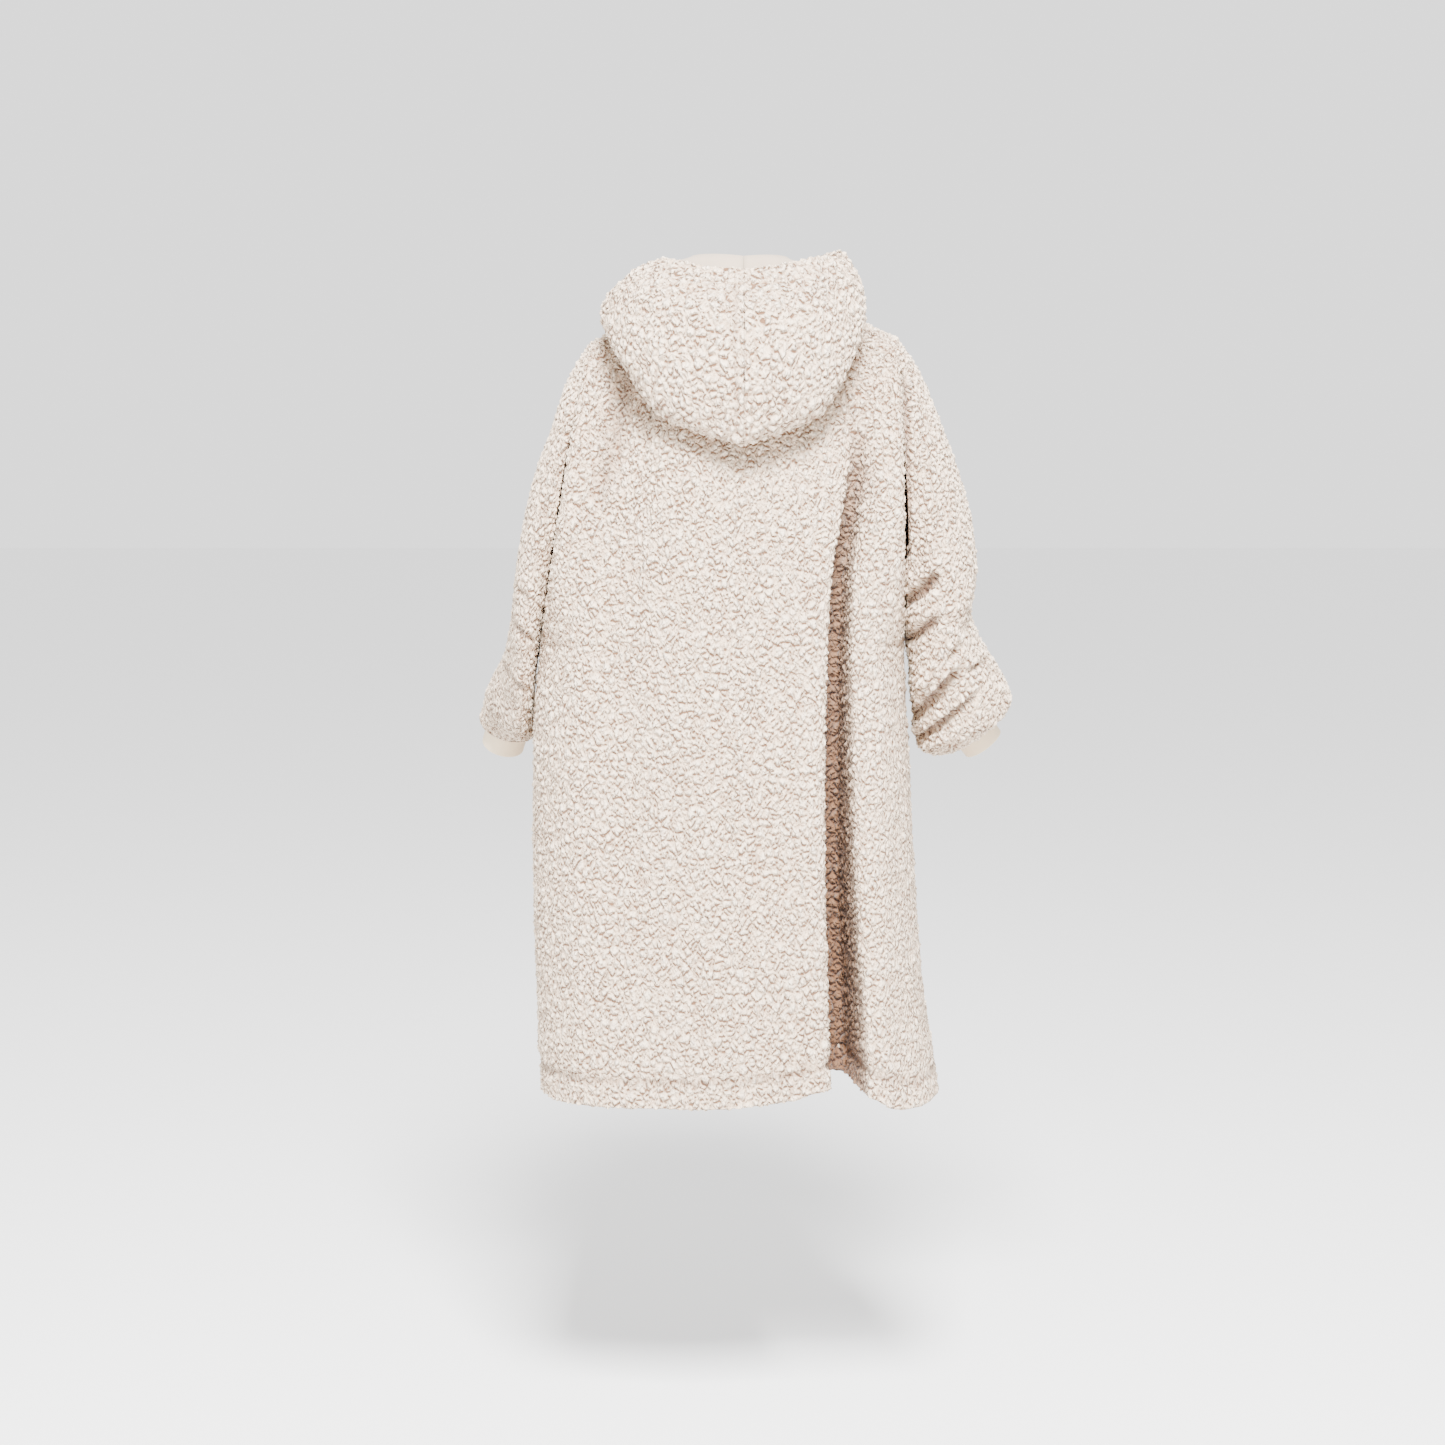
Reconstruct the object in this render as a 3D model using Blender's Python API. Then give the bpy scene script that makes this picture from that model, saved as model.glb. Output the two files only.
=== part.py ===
"""Wearable blanket hoodie in deep pile, as it hangs when worn, hood down.

Frame: +Z up, the wearer faces -Y, so the back of the garment is at +Y and the left hand at +X.
The origin is at the base of the neck, level with the neck ends of the shoulder seams.
The garment is eight cut pieces: back, front, two sleeves, two cuffs and two hood halves.
Each is a closed wall. Its outer face is worked out from the tables below, its inner face lies
one wall thickness behind, and neighbours stop a seam gap apart.
"""

import math

import bpy
import numpy as np

# Sizes in metres
PILE_WALL = 0.008  # knitted base and the pile on it
CUFF_WALL = 0.0025
SEAM_GAP = 0.0003
HEM_Z = -1.004
UNDERARM_Z = -0.441
HEM_FOLD = 0.030  # height of the turned hem
HEM_GROOVE = 0.004  # how far the stitching pulls the pile in
HEM_GROOVE_WIDTH = 0.008
HEM_STATIONS = (0, 0.6, 1, 1.4)  # rows at the hem, in heights of the turned hem

# The body below the arms: where a level section ends at left and right, how far it stands
# out behind and in front, and how square it is (2 is an ellipse)
BODY_COLUMNS = ("z", "left", "right", "back", "front", "square")
BODY_ROWS = (
    (-1.004, 0.250, -0.262, 0.184, 0.196, 3.20),
    (-0.960, 0.253, -0.256, 0.183, 0.194, 3.10),
    (-0.905, 0.254, -0.246, 0.182, 0.190, 3.00),
    (-0.830, 0.257, -0.238, 0.180, 0.186, 2.90),
    (-0.750, 0.259, -0.232, 0.178, 0.182, 2.80),
    (-0.670, 0.259, -0.227, 0.175, 0.178, 2.70),
    (-0.595, 0.258, -0.224, 0.172, 0.174, 2.60),
    (-0.520, 0.256, -0.219, 0.167, 0.170, 2.55),
    (-0.441, 0.247, -0.2155, 0.160, 0.165, 2.50),
)

# How far the hem rises above its level, from right to left
HEM_COLUMNS = ("x", "back", "front")
HEM_ROWS = (
    (-0.270, -0.006, -0.006),
    (-0.215, -0.010, 0.004),
    (-0.165, 0.008, 0.010),
    (-0.115, 0.019, 0.004),
    (-0.060, 0.006, -0.002),
    (0.000, 0.000, 0.002),
    (0.100, -0.002, 0.008),
    (0.180, -0.003, 0.002),
    (0.260, -0.004, -0.004),
)
HEM_REACH = 2.0  # how quickly that dies away upwards

# Shoulder seams and neckline
TIP_LEFT = (0.185, -0.066)  # x and z where the shoulder seam meets the armhole
TIP_RIGHT = (-0.205, -0.058)
NECK_LEFT = (0.086, -0.008)  # x and z where the shoulder seam meets the neckline
NECK_RIGHT = (-0.086, -0.002)
NECK_BACK = (0.058, 0.010)  # y depth and z of the neckline at the centre
NECK_FRONT = (0.092, -0.062)
SHOULDER_ROUND = 1.25  # 1 is a circle's quarter over the shoulder, more is flatter
ARMHOLE_DEPTH = 0.088  # half of the armhole's width, front to back
ARMHOLE_REACH = 7.0  # how quickly the panel bends out to the armhole
ARMHOLE_ROUND = 0.75
NECK_ROUND = 1.4  # how late the neckline dips, from its ends to its middle

# The one deep fold, which falls from below the right shoulder blade to the hem
FOLD_COLUMNS = ("z", "x", "depth", "lip", "valley")
FOLD_ROWS = (
    (-1.004, -0.142, 0.125, 0.019, 0.011),
    (-0.900, -0.138, 0.122, 0.018, 0.011),
    (-0.750, -0.132, 0.112, 0.018, 0.010),
    (-0.600, -0.129, 0.095, 0.017, 0.010),
    (-0.450, -0.129, 0.078, 0.016, 0.009),
    (-0.350, -0.133, 0.062, 0.015, 0.008),
    (-0.260, -0.146, 0.036, 0.015, 0.008),
    (-0.170, -0.156, 0.000, 0.015, 0.008),
    (0.100, -0.146, 0.000, 0.015, 0.008),
)
FOLD_STEEP = math.radians(84)  # the steepest that its sides turn inwards
FOLD_LEAN = math.radians(6)  # how far it turns from straight forward towards the middle
FOLD_LEAST = 0.024  # half the width of cloth that the fold's own columns cover
FOLD_MARGIN = 0.008
FOLD_MOST = 0.8  # how much of the cloth right of the fold those columns may take
FOLD_LOW_MARK = -0.12  # where the columns next to the fold begin at the hem, -1 is the right side

# Soft creases, as lines seen from behind or in front: troughs have a minus height. Each dies
# away past its ends, over TAPER widths, and where the cloth turns away from that side.
CREASE_COLUMNS = ("x0", "z0", "x1", "z1", "width", "height")
CREASE_TAPER = 2.2
CREASE_FACING = 1.6  # full from where the cloth faces that side by 1 / 1.6
BACK_CREASES = (
    (0.150, -0.150, 0.135, -0.700, 0.028, -0.007),
    (0.072, -0.190, 0.060, -0.520, 0.045, 0.007),
    (-0.045, -0.260, -0.062, -0.960, 0.035, -0.006),
    (0.195, -0.420, 0.185, -0.960, 0.030, 0.006),
    (0.020, -0.600, 0.030, -1.004, 0.050, 0.006),
    (-0.180, -0.300, -0.186, -1.004, 0.016, 0.006),
)
FRONT_CREASES = (
    (0.120, -0.240, 0.150, -1.004, 0.026, -0.020),
    (-0.130, -0.220, -0.165, -1.004, 0.028, -0.026),
    (0.030, -0.330, 0.040, -1.004, 0.030, -0.010),
    (-0.045, -0.420, -0.070, -1.004, 0.034, 0.012),
    (0.085, -0.420, 0.100, -1.004, 0.030, 0.012),
    (-0.060, -0.110, 0.060, -0.150, 0.022, -0.006),
)
RIGHT_SLEEVE_CREASES = (
    (-0.236, -0.368, -0.207, -0.400, 0.013, -0.010),
    (-0.240, -0.424, -0.206, -0.462, 0.014, -0.014),
    (-0.275, -0.490, -0.216, -0.552, 0.014, -0.012),
    (-0.270, -0.545, -0.224, -0.574, 0.011, -0.009),
    (-0.262, -0.400, -0.225, -0.428, 0.013, 0.007),
    (-0.290, -0.455, -0.222, -0.505, 0.016, 0.008),
    (-0.318, -0.435, -0.285, -0.452, 0.012, -0.008),
    (-0.226, -0.130, -0.218, -0.340, 0.013, -0.009),
)
LEFT_SLEEVE_CREASES = (
    (0.222, -0.150, 0.240, -0.330, 0.014, -0.0025),
    (0.256, -0.330, 0.282, -0.352, 0.013, -0.0020),
    (0.258, -0.400, 0.290, -0.424, 0.013, -0.0025),
    (0.262, -0.452, 0.300, -0.482, 0.014, -0.0030),
    (0.264, -0.500, 0.310, -0.540, 0.013, -0.0030),
)

SLEEVE_OVAL = 0.9  # 1 is an ellipse, less is squarer
FRONT_SHARE = 0.8  # how deep the sleeves' creases are in front, beside those behind

# The sleeves, ring by ring from armhole to cuff: the point of each ring farthest from the
# body and the one nearest to it, how far the ring's middle lies forward, half its width
# front to back, how far it turns with the forearm (radians), how oval it is, and its wall
SLEEVE_COLUMNS = (
    "s", "outer_x", "outer_z", "inner_x", "inner_z", "middle_y", "half", "turn", "oval", "wall",
)
RIGHT_SLEEVE_ROWS = (
    (0.00, -0.2050, -0.0580, -0.2155, -0.4410, 0.000, 0.088, 0.00, 0.00, 0.008),
    (0.08, -0.2330, -0.1010, -0.2180, -0.4570, 0.000, 0.091, 0.00, 0.35, 0.008),
    (0.17, -0.2600, -0.1640, -0.2200, -0.4680, 0.002, 0.095, 0.00, 0.70, 0.008),
    (0.26, -0.2850, -0.2310, -0.2215, -0.4800, 0.002, 0.097, 0.02, 0.90, 0.008),
    (0.35, -0.3010, -0.2890, -0.2230, -0.4950, 0.000, 0.096, 0.04, 1.00, 0.008),
    (0.44, -0.3080, -0.3480, -0.2245, -0.5100, -0.003, 0.094, 0.06, 1.00, 0.008),
    (0.53, -0.3020, -0.4060, -0.2258, -0.5260, -0.008, 0.090, 0.09, 1.00, 0.008),
    (0.62, -0.3150, -0.4380, -0.2270, -0.5430, -0.014, 0.087, 0.12, 1.00, 0.008),
    (0.73, -0.3350, -0.4700, -0.2290, -0.5620, -0.022, 0.084, 0.15, 1.00, 0.008),
    (0.84, -0.3520, -0.5010, -0.2390, -0.5820, -0.030, 0.079, 0.18, 1.00, 0.008),
    (0.93, -0.3580, -0.5180, -0.2560, -0.5880, -0.038, 0.067, 0.20, 1.00, 0.008),
    (1.00, -0.3520, -0.5270, -0.2680, -0.5870, -0.045, 0.052, 0.22, 1.00, 0.007),
)
LEFT_SLEEVE_ROWS = (
    (0.00, 0.1850, -0.0660, 0.2470, -0.4410, 0.000, 0.088, 0.00, 0.00, 0.008),
    (0.08, 0.2120, -0.1120, 0.2490, -0.4520, 0.000, 0.090, 0.00, 0.35, 0.007),
    (0.17, 0.2340, -0.1750, 0.2510, -0.4630, 0.000, 0.092, 0.00, 0.70, 0.006),
    (0.26, 0.2550, -0.2320, 0.2530, -0.4740, -0.002, 0.094, 0.03, 0.90, 0.005),
    (0.35, 0.2690, -0.2900, 0.2550, -0.4870, -0.006, 0.095, 0.07, 1.00, 0.005),
    (0.44, 0.2790, -0.3450, 0.2565, -0.5010, -0.012, 0.096, 0.12, 1.00, 0.005),
    (0.53, 0.2850, -0.3940, 0.2578, -0.5150, -0.022, 0.096, 0.18, 1.00, 0.005),
    (0.62, 0.2920, -0.4340, 0.2588, -0.5290, -0.034, 0.094, 0.26, 1.00, 0.005),
    (0.73, 0.3010, -0.4700, 0.2598, -0.5440, -0.050, 0.090, 0.36, 1.00, 0.005),
    (0.84, 0.3170, -0.5000, 0.2600, -0.5560, -0.068, 0.080, 0.42, 1.00, 0.005),
    (0.93, 0.3275, -0.5200, 0.2585, -0.5560, -0.086, 0.064, 0.46, 1.00, 0.005),
    (1.00, 0.3310, -0.5380, 0.2565, -0.5600, -0.098, 0.050, 0.48, 1.00, 0.005),
)
# Where the sleeve is gathered into its cuff: the middle of the seam, how far the seam rises
# outwards and how far it turns forward (radians)
WRIST_COLUMNS = ("x", "y", "z", "slant", "turn")
RIGHT_WRIST = (-0.2935, -0.046, -0.5415, 0.66, 0.22)
LEFT_WRIST = (0.2940, -0.102, -0.5470, 0.30, 0.48)
# The sleeve's end hangs over the seam in a soft roll, as circles round the cuff's axis. The
# left one is narrow, so the pile is thin in it.
LIP_COLUMNS = ("radius", "down", "wall")
RIGHT_LIP_ROWS = (
    (0.0435, 0.0185, 0.005),
    (0.0385, 0.0215, 0.004),
    (0.0345, 0.0175, 0.004),
    (0.0325, 0.0080, 0.004),
    (0.0283, 0.0000, 0.004),
)
LEFT_LIP_ROWS = (
    (0.0400, 0.0140, 0.0035),
    (0.0376, 0.0180, 0.0025),
    (0.0340, 0.0160, 0.0025),
    (0.0318, 0.0080, 0.0025),
    (0.0283, 0.0000, 0.0025),
)
CUFF_LENGTH = 0.052
CUFF_UP = 0.004  # how far the cuff's edge reaches into the seam
CUFF_OUTER = 0.028

# The hood, let down, from the middle of the back (0) to the middle of the front (1). The cloth
# rises from the neckline, rolls outwards, drops behind, and comes up again to its rim. All
# are distances out from the neckline or up from it.
HOOD_COLUMNS = (
    "q", "facing", "rise", "roll", "inner", "low", "drop", "belly", "belly_up", "rim", "rim_up",
)
LEFT_HOOD_ROWS = (
    (0.00, 90, 0.022, 0.026, 0.086, 0.112, 0.205, 0.142, -0.110, 0.092, 0.008),
    (0.10, 76, 0.023, 0.026, 0.083, 0.109, 0.190, 0.140, -0.100, 0.090, 0.014),
    (0.20, 60, 0.024, 0.025, 0.072, 0.099, 0.162, 0.135, -0.078, 0.084, 0.026),
    (0.30, 43, 0.025, 0.023, 0.056, 0.080, 0.094, 0.120, -0.050, 0.076, 0.022),
    (0.40, 26, 0.026, 0.020, 0.040, 0.058, 0.034, 0.092, -0.022, 0.062, 0.014),
    (0.50, 8, 0.024, 0.017, 0.029, 0.041, 0.000, 0.062, 0.010, 0.046, 0.018),
    (0.62, -14, 0.020, 0.014, 0.022, 0.031, -0.012, 0.046, 0.018, 0.036, 0.034),
    (0.75, -38, 0.014, 0.010, 0.016, 0.022, -0.016, 0.034, 0.026, 0.030, 0.044),
    (0.88, -64, 0.012, 0.008, 0.012, 0.016, -0.017, 0.024, 0.030, 0.022, 0.048),
    (1.00, -88, 0.012, 0.006, 0.010, 0.013, -0.018, 0.019, 0.030, 0.018, 0.046),
)
RIGHT_HOOD_ROWS = (
    (0.00, 90, 0.022, 0.026, 0.086, 0.112, 0.205, 0.142, -0.110, 0.092, 0.008),
    (0.10, 76, 0.023, 0.026, 0.083, 0.109, 0.186, 0.139, -0.098, 0.091, 0.016),
    (0.20, 60, 0.024, 0.025, 0.072, 0.099, 0.160, 0.132, -0.078, 0.088, 0.030),
    (0.30, 43, 0.025, 0.023, 0.056, 0.078, 0.090, 0.112, -0.050, 0.078, 0.042),
    (0.40, 26, 0.026, 0.020, 0.040, 0.054, 0.028, 0.082, -0.014, 0.060, 0.036),
    (0.50, 8, 0.024, 0.017, 0.029, 0.041, -0.004, 0.058, 0.012, 0.046, 0.030),
    (0.62, -14, 0.020, 0.014, 0.022, 0.031, -0.012, 0.045, 0.019, 0.036, 0.038),
    (0.75, -38, 0.014, 0.010, 0.016, 0.022, -0.016, 0.034, 0.026, 0.030, 0.045),
    (0.88, -64, 0.012, 0.008, 0.012, 0.016, -0.017, 0.024, 0.030, 0.022, 0.048),
    (1.00, -88, 0.012, 0.006, 0.010, 0.013, -0.018, 0.019, 0.030, 0.018, 0.046),
)
SEAM_SINK = 0.43  # how steeply the neckline's seam allowance points down and in
NECK_GAP = 0.0013  # the neckline's seam slants, so that it's this much in height
FRONT_GAP = 0.003  # between the hood's halves where they meet at the throat

# How finely the solids are divided
LOWER_ROWS = 13
DOME_ROWS = 12
BACK_STEPS = (9, 4, 4, 3, 20, 4)  # edge, neck, centre, neck, fold, fold, edge
FRONT_STEPS = (7, 5, 5, 7)
HOOD_BACK_STEPS = 4
HOOD_FRONT_STEPS = 5
HOOD_ROWS = 17
CUFF_ROWS = 3
FINE = 241  # points on a line before it is divided evenly
FEW = 25  # points on a short, nearly straight one
EDGE_COLUMNS = 2  # over which a crease fades in from a panel's side
TOP_SHARE = 4  # a crease fades out over the last 1/4 of the way to the shoulder seam
SLEEVE_FADE = 1.5  # rings over which a crease fades in from the armhole


def columns(names, rows):
    """A table as one array for each of its named columns."""
    return {name: np.array(values) for name, values in zip(names, zip(*rows))}


def smooth(knots, values, at):
    """A smooth curve through the values at the knots, read at the places given."""
    at = np.clip(np.asarray(at, float), knots[0], knots[-1])
    slopes = np.gradient(values, knots)
    low = np.clip(np.searchsorted(knots, at) - 1, 0, len(knots) - 2)
    span = knots[low + 1] - knots[low]
    t = (at - knots[low]) / span
    rest = 1 - t
    ends = values[low] * (1 + 2 * t) * rest**2 + values[low + 1] * (1 + 2 * rest) * t**2
    return ends + span * t * rest * (slopes[low] * rest - slopes[low + 1] * t)


BODY = columns(BODY_COLUMNS, BODY_ROWS)
HEM = columns(HEM_COLUMNS, HEM_ROWS)
FOLD = columns(FOLD_COLUMNS, FOLD_ROWS)


def body(name, z):
    return smooth(BODY["z"], BODY[name], z)


def fold(name, z):
    return smooth(FOLD["z"], FOLD[name], z)


def across(theta, square):
    """How far across a section an angle lies, from 1 at the left side to -1 at the right."""
    cosine = np.cos(theta)
    return np.sign(cosine) * np.abs(cosine) ** (2 / square)


def section(z, theta, side):
    """Half of a level section, from the left side (0) round the back or front to the right."""
    left, right, square = body("left", z), body("right", z), body("square", z)
    reach = body("back" if side > 0 else "front", z)
    x = (left + right) / 2 + (left - right) / 2 * across(theta, square)
    y = side * reach * np.abs(np.sin(theta)) ** (2 / square)
    return np.stack([x, y, np.full_like(x, z)], axis=-1)


def top_line(theta, side):
    """The shoulder seams and, between them, the neckline of the back or the front."""
    u = across(theta, body("square", UNDERARM_Z))
    middle, half = (TIP_LEFT[0] + TIP_RIGHT[0]) / 2, (TIP_LEFT[0] - TIP_RIGHT[0]) / 2
    x = middle + half * u
    neck_middle = (NECK_LEFT[0] + NECK_RIGHT[0]) / 2
    neck_half = (NECK_LEFT[0] - NECK_RIGHT[0]) / 2
    round_part = np.sqrt(np.clip(1 - ((x - neck_middle) / neck_half) ** 2, 0, 1))
    depth, height = NECK_BACK if side > 0 else NECK_FRONT
    places = (TIP_RIGHT, NECK_RIGHT, NECK_LEFT, TIP_LEFT)
    line = np.interp(x, [place[0] for place in places], [place[1] for place in places])
    z = line + (height - line) * round_part**NECK_ROUND
    return np.stack([x, side * depth * round_part, z], axis=-1)


def neck_angle(x):
    """The angle at which the top line passes an x."""
    middle, half = (TIP_LEFT[0] + TIP_RIGHT[0]) / 2, (TIP_LEFT[0] - TIP_RIGHT[0]) / 2
    u = (x - middle) / half
    return math.acos(math.copysign(abs(u) ** (body("square", UNDERARM_Z) / 2), u))


def body_line(station, theta, side):
    """The outer face's points at a station: 0 is the hem, 1 the underarm, 2 the top line."""
    low = section(HEM_Z + (UNDERARM_Z - HEM_Z) * min(station, 1), theta, side)
    if station <= 1:
        return low
    top = top_line(theta, side)
    psi = (station - 1) * math.pi / 2
    rise, fall = math.sin(psi) ** SHOULDER_ROUND, max(math.cos(psi), 0) ** SHOULDER_ROUND
    u = np.abs(across(theta, body("square", UNDERARM_Z)))
    opening = u**ARMHOLE_REACH * max(math.sin(2 * psi), 0) ** ARMHOLE_ROUND
    x = low[:, 0] + (top[:, 0] - low[:, 0]) * rise
    y = top[:, 1] + (low[:, 1] - top[:, 1]) * fall + side * ARMHOLE_DEPTH * opening
    z = low[:, 2] + (top[:, 2] - low[:, 2]) * rise
    return np.stack([x, y, z], axis=-1)


def lengths(points):
    """How far along a line each of its points is."""
    return np.concatenate([[0], np.cumsum(np.linalg.norm(np.diff(points, axis=0), axis=1))])


def read_line(points, along, places):
    return np.stack([np.interp(places, along, points[:, i]) for i in range(3)], axis=-1)


def fold_path(depth, lip, valley):
    """The fold in section: how far across and how far in, over a rounded lip, down one side,
    round the valley and out again."""
    steep = min(FOLD_STEEP, math.acos(max(1 - depth / (lip + valley), -1)))
    flat = 0.0
    if steep >= FOLD_STEEP:
        flat = (depth - (lip + valley) * (1 - math.cos(steep))) / math.sin(steep)
    stops = np.cumsum([0, lip * steep, flat, 2 * valley * steep, flat, lip * steep])
    turns = np.array([0, steep, steep, -steep, -steep, 0])
    run = np.linspace(0, stops[-1], FINE)
    turn = np.interp(run, stops + np.arange(6) * 1e-9, turns)
    step = np.diff(run) * 0.5
    middle = (turn[1:] + turn[:-1]) / 2
    sideways = np.concatenate([[0], np.cumsum(np.cos(middle) * step * 2)])
    inwards = np.concatenate([[0], np.cumsum(np.sin(middle) * step * 2)])
    return sideways - sideways[-1] / 2, inwards


def back_row(station, steps):
    """A row of the back panel's outer face, from its left edge to its right one, with the
    deep fold let in. Each stretch between two marks is divided evenly."""
    theta = np.linspace(0, math.pi, 2 * FINE)
    line = body_line(station, theta, 1)
    along = lengths(line)
    off = line[:, 0] - fold("x", line[:, 2])
    at = np.nonzero((off[:-1] > 0) & (off[1:] <= 0))[0][0]
    centre = np.interp(0, [-off[at], -off[at + 1]], [along[at], along[at + 1]])
    z = line[at, 2]
    depth = max(float(fold("depth", z)), 0.0)
    sideways, inwards = fold_path(depth, float(fold("lip", z)), float(fold("valley", z)))
    half = max(FOLD_LEAST, sideways[-1] + FOLD_MARGIN)
    half = min(half, (along[-1] - centre) * FOLD_MOST)
    inward = np.array([math.sin(FOLD_LEAN), -math.cos(FOLD_LEAN), 0])
    before = read_line(line, along, np.linspace(centre - half, centre + sideways[0], FEW))
    after = read_line(line, along, np.linspace(centre + sideways[-1], centre + half, FEW))
    inside = read_line(line, along, centre + sideways) + inwards[:, None] * inward
    folded = np.concatenate([before[:-1], inside, after[1:]])
    climb = min(max(station - 1, 0), 1)
    left_mark = neck_angle(NECK_LEFT[0])
    low_mark = math.acos(FOLD_LOW_MARK)
    right_mark = low_mark + (neck_angle(NECK_RIGHT[0]) - low_mark) * climb
    marks = [0, *np.interp([left_mark, math.pi / 2, right_mark], theta, along)]
    marks += [centre - half, centre + half, along[-1]]
    pieces = []
    for i, count in enumerate(steps):
        if i == 4:
            inside_along = lengths(folded)
            places = np.linspace(0, inside_along[-1], count + 1)
            pieces.append(read_line(folded, inside_along, places)[:-1])
        else:
            places = np.linspace(marks[i], marks[i + 1], count + 1)
            pieces.append(read_line(line, along, places)[:-1])
    pieces.append(line[-1:])
    return np.concatenate(pieces)


def front_row(station, steps):
    """A row of the front panel's outer face, from its left edge to its right one."""
    theta = np.linspace(0, math.pi, 2 * FINE)
    line = body_line(station, theta, -1)
    along = lengths(line)
    ends = [neck_angle(NECK_LEFT[0]), math.pi / 2, neck_angle(NECK_RIGHT[0])]
    marks = [0, *np.interp(ends, theta, along), along[-1]]
    places = [np.linspace(marks[i], marks[i + 1], n + 1)[:-1] for i, n in enumerate(steps)]
    return read_line(line, along, np.concatenate([*places, [along[-1]]]))


def normals_of(grid, outward):
    """Unit normals of a grid of points, turned to the side that the outward points lie on."""
    by_row = np.gradient(grid, axis=0)
    by_column = np.gradient(grid, axis=1)
    normal = np.cross(by_column, by_row)
    normal /= np.maximum(np.linalg.norm(normal, axis=-1, keepdims=True), 1e-12)
    return normal * outward


def crease_heights(points, facing, creases):
    """How far the creases lift each point, on the parts that face the crease's side."""
    lift = np.zeros(points.shape[:-1])
    for row in creases:
        crease = dict(zip(CREASE_COLUMNS, row))
        run = np.array([crease["x1"] - crease["x0"], crease["z1"] - crease["z0"]])
        length = np.linalg.norm(run)
        run /= length
        dx, dz = points[..., 0] - crease["x0"], points[..., 2] - crease["z0"]
        along = dx * run[0] + dz * run[1]
        aside = dx * -run[1] + dz * run[0]
        past = np.maximum(np.maximum(-along, along - length), 0)
        width = crease["width"]
        fall = aside**2 / width**2 + past**2 / (CREASE_TAPER * width) ** 2
        lift += crease["height"] * np.exp(-fall)
    return lift * np.clip(facing * CREASE_FACING, 0, 1)


def hem_heights(z):
    """The line of stitching above the hem."""
    return -HEM_GROOVE * np.exp(-(((z - HEM_Z - HEM_FOLD) / HEM_GROOVE_WIDTH) ** 2))


def stations():
    """The rows of the panels: a few close ones at the hem, then even ones, then the dome."""
    height = UNDERARM_Z - HEM_Z
    hem = [share * HEM_FOLD / height for share in HEM_STATIONS]
    lower = np.linspace(hem[-1] + HEM_FOLD / height, 1, LOWER_ROWS)
    return [*hem, *lower, *(1 + np.linspace(0, 1, DOME_ROWS + 1)[1:])]


def armhole(hand):
    """The armhole's loop, from the underarm up the back to the shoulder, then down the front."""
    theta = np.array([0.0 if hand > 0 else math.pi])
    up = 1 + np.linspace(0, 1, DOME_ROWS + 1)
    back = [body_line(station, theta, 1)[0] for station in up]
    front = [body_line(station, theta, -1)[0] for station in up[-2:0:-1]]
    return np.array(back + front)


def loop_rims(loop):
    """Unit directions from an armhole's edge into its hole, level with the loop."""
    run = np.roll(loop, -1, axis=0) - np.roll(loop, 1, axis=0)
    rims = np.stack([np.zeros(len(loop)), -run[:, 2], run[:, 1]], axis=-1)
    rims[0], rims[DOME_ROWS] = (0, 0, 1), (0, 0, -1)
    rims /= np.linalg.norm(rims, axis=-1, keepdims=True)
    middle = loop.mean(axis=0)
    turned = ((middle - loop) * rims).sum(axis=-1, keepdims=True) < 0
    return np.where(turned, -rims, rims)


def neck_rim(facing):
    """The direction of the neckline's seam allowance, down and in."""
    rim = np.array([-math.cos(facing), -math.sin(facing), -SEAM_SINK])
    return rim / np.linalg.norm(rim)


def neck_facings(points):
    """Which way out each point of the neckline faces, seen from above."""
    depth = np.where(points[:, 1] > 0, NECK_BACK[0], NECK_FRONT[0])
    return np.arctan2(points[:, 1] / depth, points[:, 0] / NECK_LEFT[0])


def panel(side):
    """The outer and inner faces of the back or front panel."""
    steps = BACK_STEPS if side > 0 else FRONT_STEPS
    make_row = back_row if side > 0 else front_row
    levels = stations()
    outer = np.array([make_row(station, steps) for station in levels])
    normal = normals_of(outer, side)
    creases = BACK_CREASES if side > 0 else FRONT_CREASES
    lift = crease_heights(outer, side * normal[..., 1], creases) + hem_heights(outer[..., 2])
    edge = np.minimum(np.arange(outer.shape[1]), np.arange(outer.shape[1])[::-1])
    top = np.clip((2 - np.array(levels)) * TOP_SHARE, 0, 1)[:, None]
    outer = outer + normal * (lift * np.clip(edge / EDGE_COLUMNS, 0, 1) * top)[..., None]
    rise = smooth(HEM["x"], HEM["back" if side > 0 else "front"], outer[..., 0])
    outer[..., 2] += rise * (np.clip(1 - np.array(levels), 0, 1) ** HEM_REACH)[:, None]
    normal = normals_of(outer, side)
    rim = -normal
    body_rows = len(levels) - DOME_ROWS
    for column in (0, -1):
        rim[:body_rows, column, 1] = 0
    rim[-1, :, 1] = 0
    rim /= np.linalg.norm(rim, axis=-1, keepdims=True)
    for hand, column in ((1, 0), (-1, -1)):
        rims = loop_rims(armhole(hand))
        order = np.arange(DOME_ROWS + 1)
        if side < 0:
            order = -order % len(rims)
        rim[body_rows - 1:, column] = rims[order]
    first = steps[0]
    last = outer.shape[1] - 1 - (sum(steps[3:]))
    neck = outer[-1, first:last + 1]
    for i, facing in enumerate(neck_facings(neck)):
        rim[-1, first + i] = neck_rim(facing)
    inner = outer + PILE_WALL * rim
    gap = side * SEAM_GAP / 2
    for column in (0, -1):
        outer[:body_rows, column, 1] += gap
        inner[:body_rows, column, 1] += gap
    outer[-1, :, 1] += gap
    inner[-1, :, 1] += gap
    return outer, inner


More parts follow.
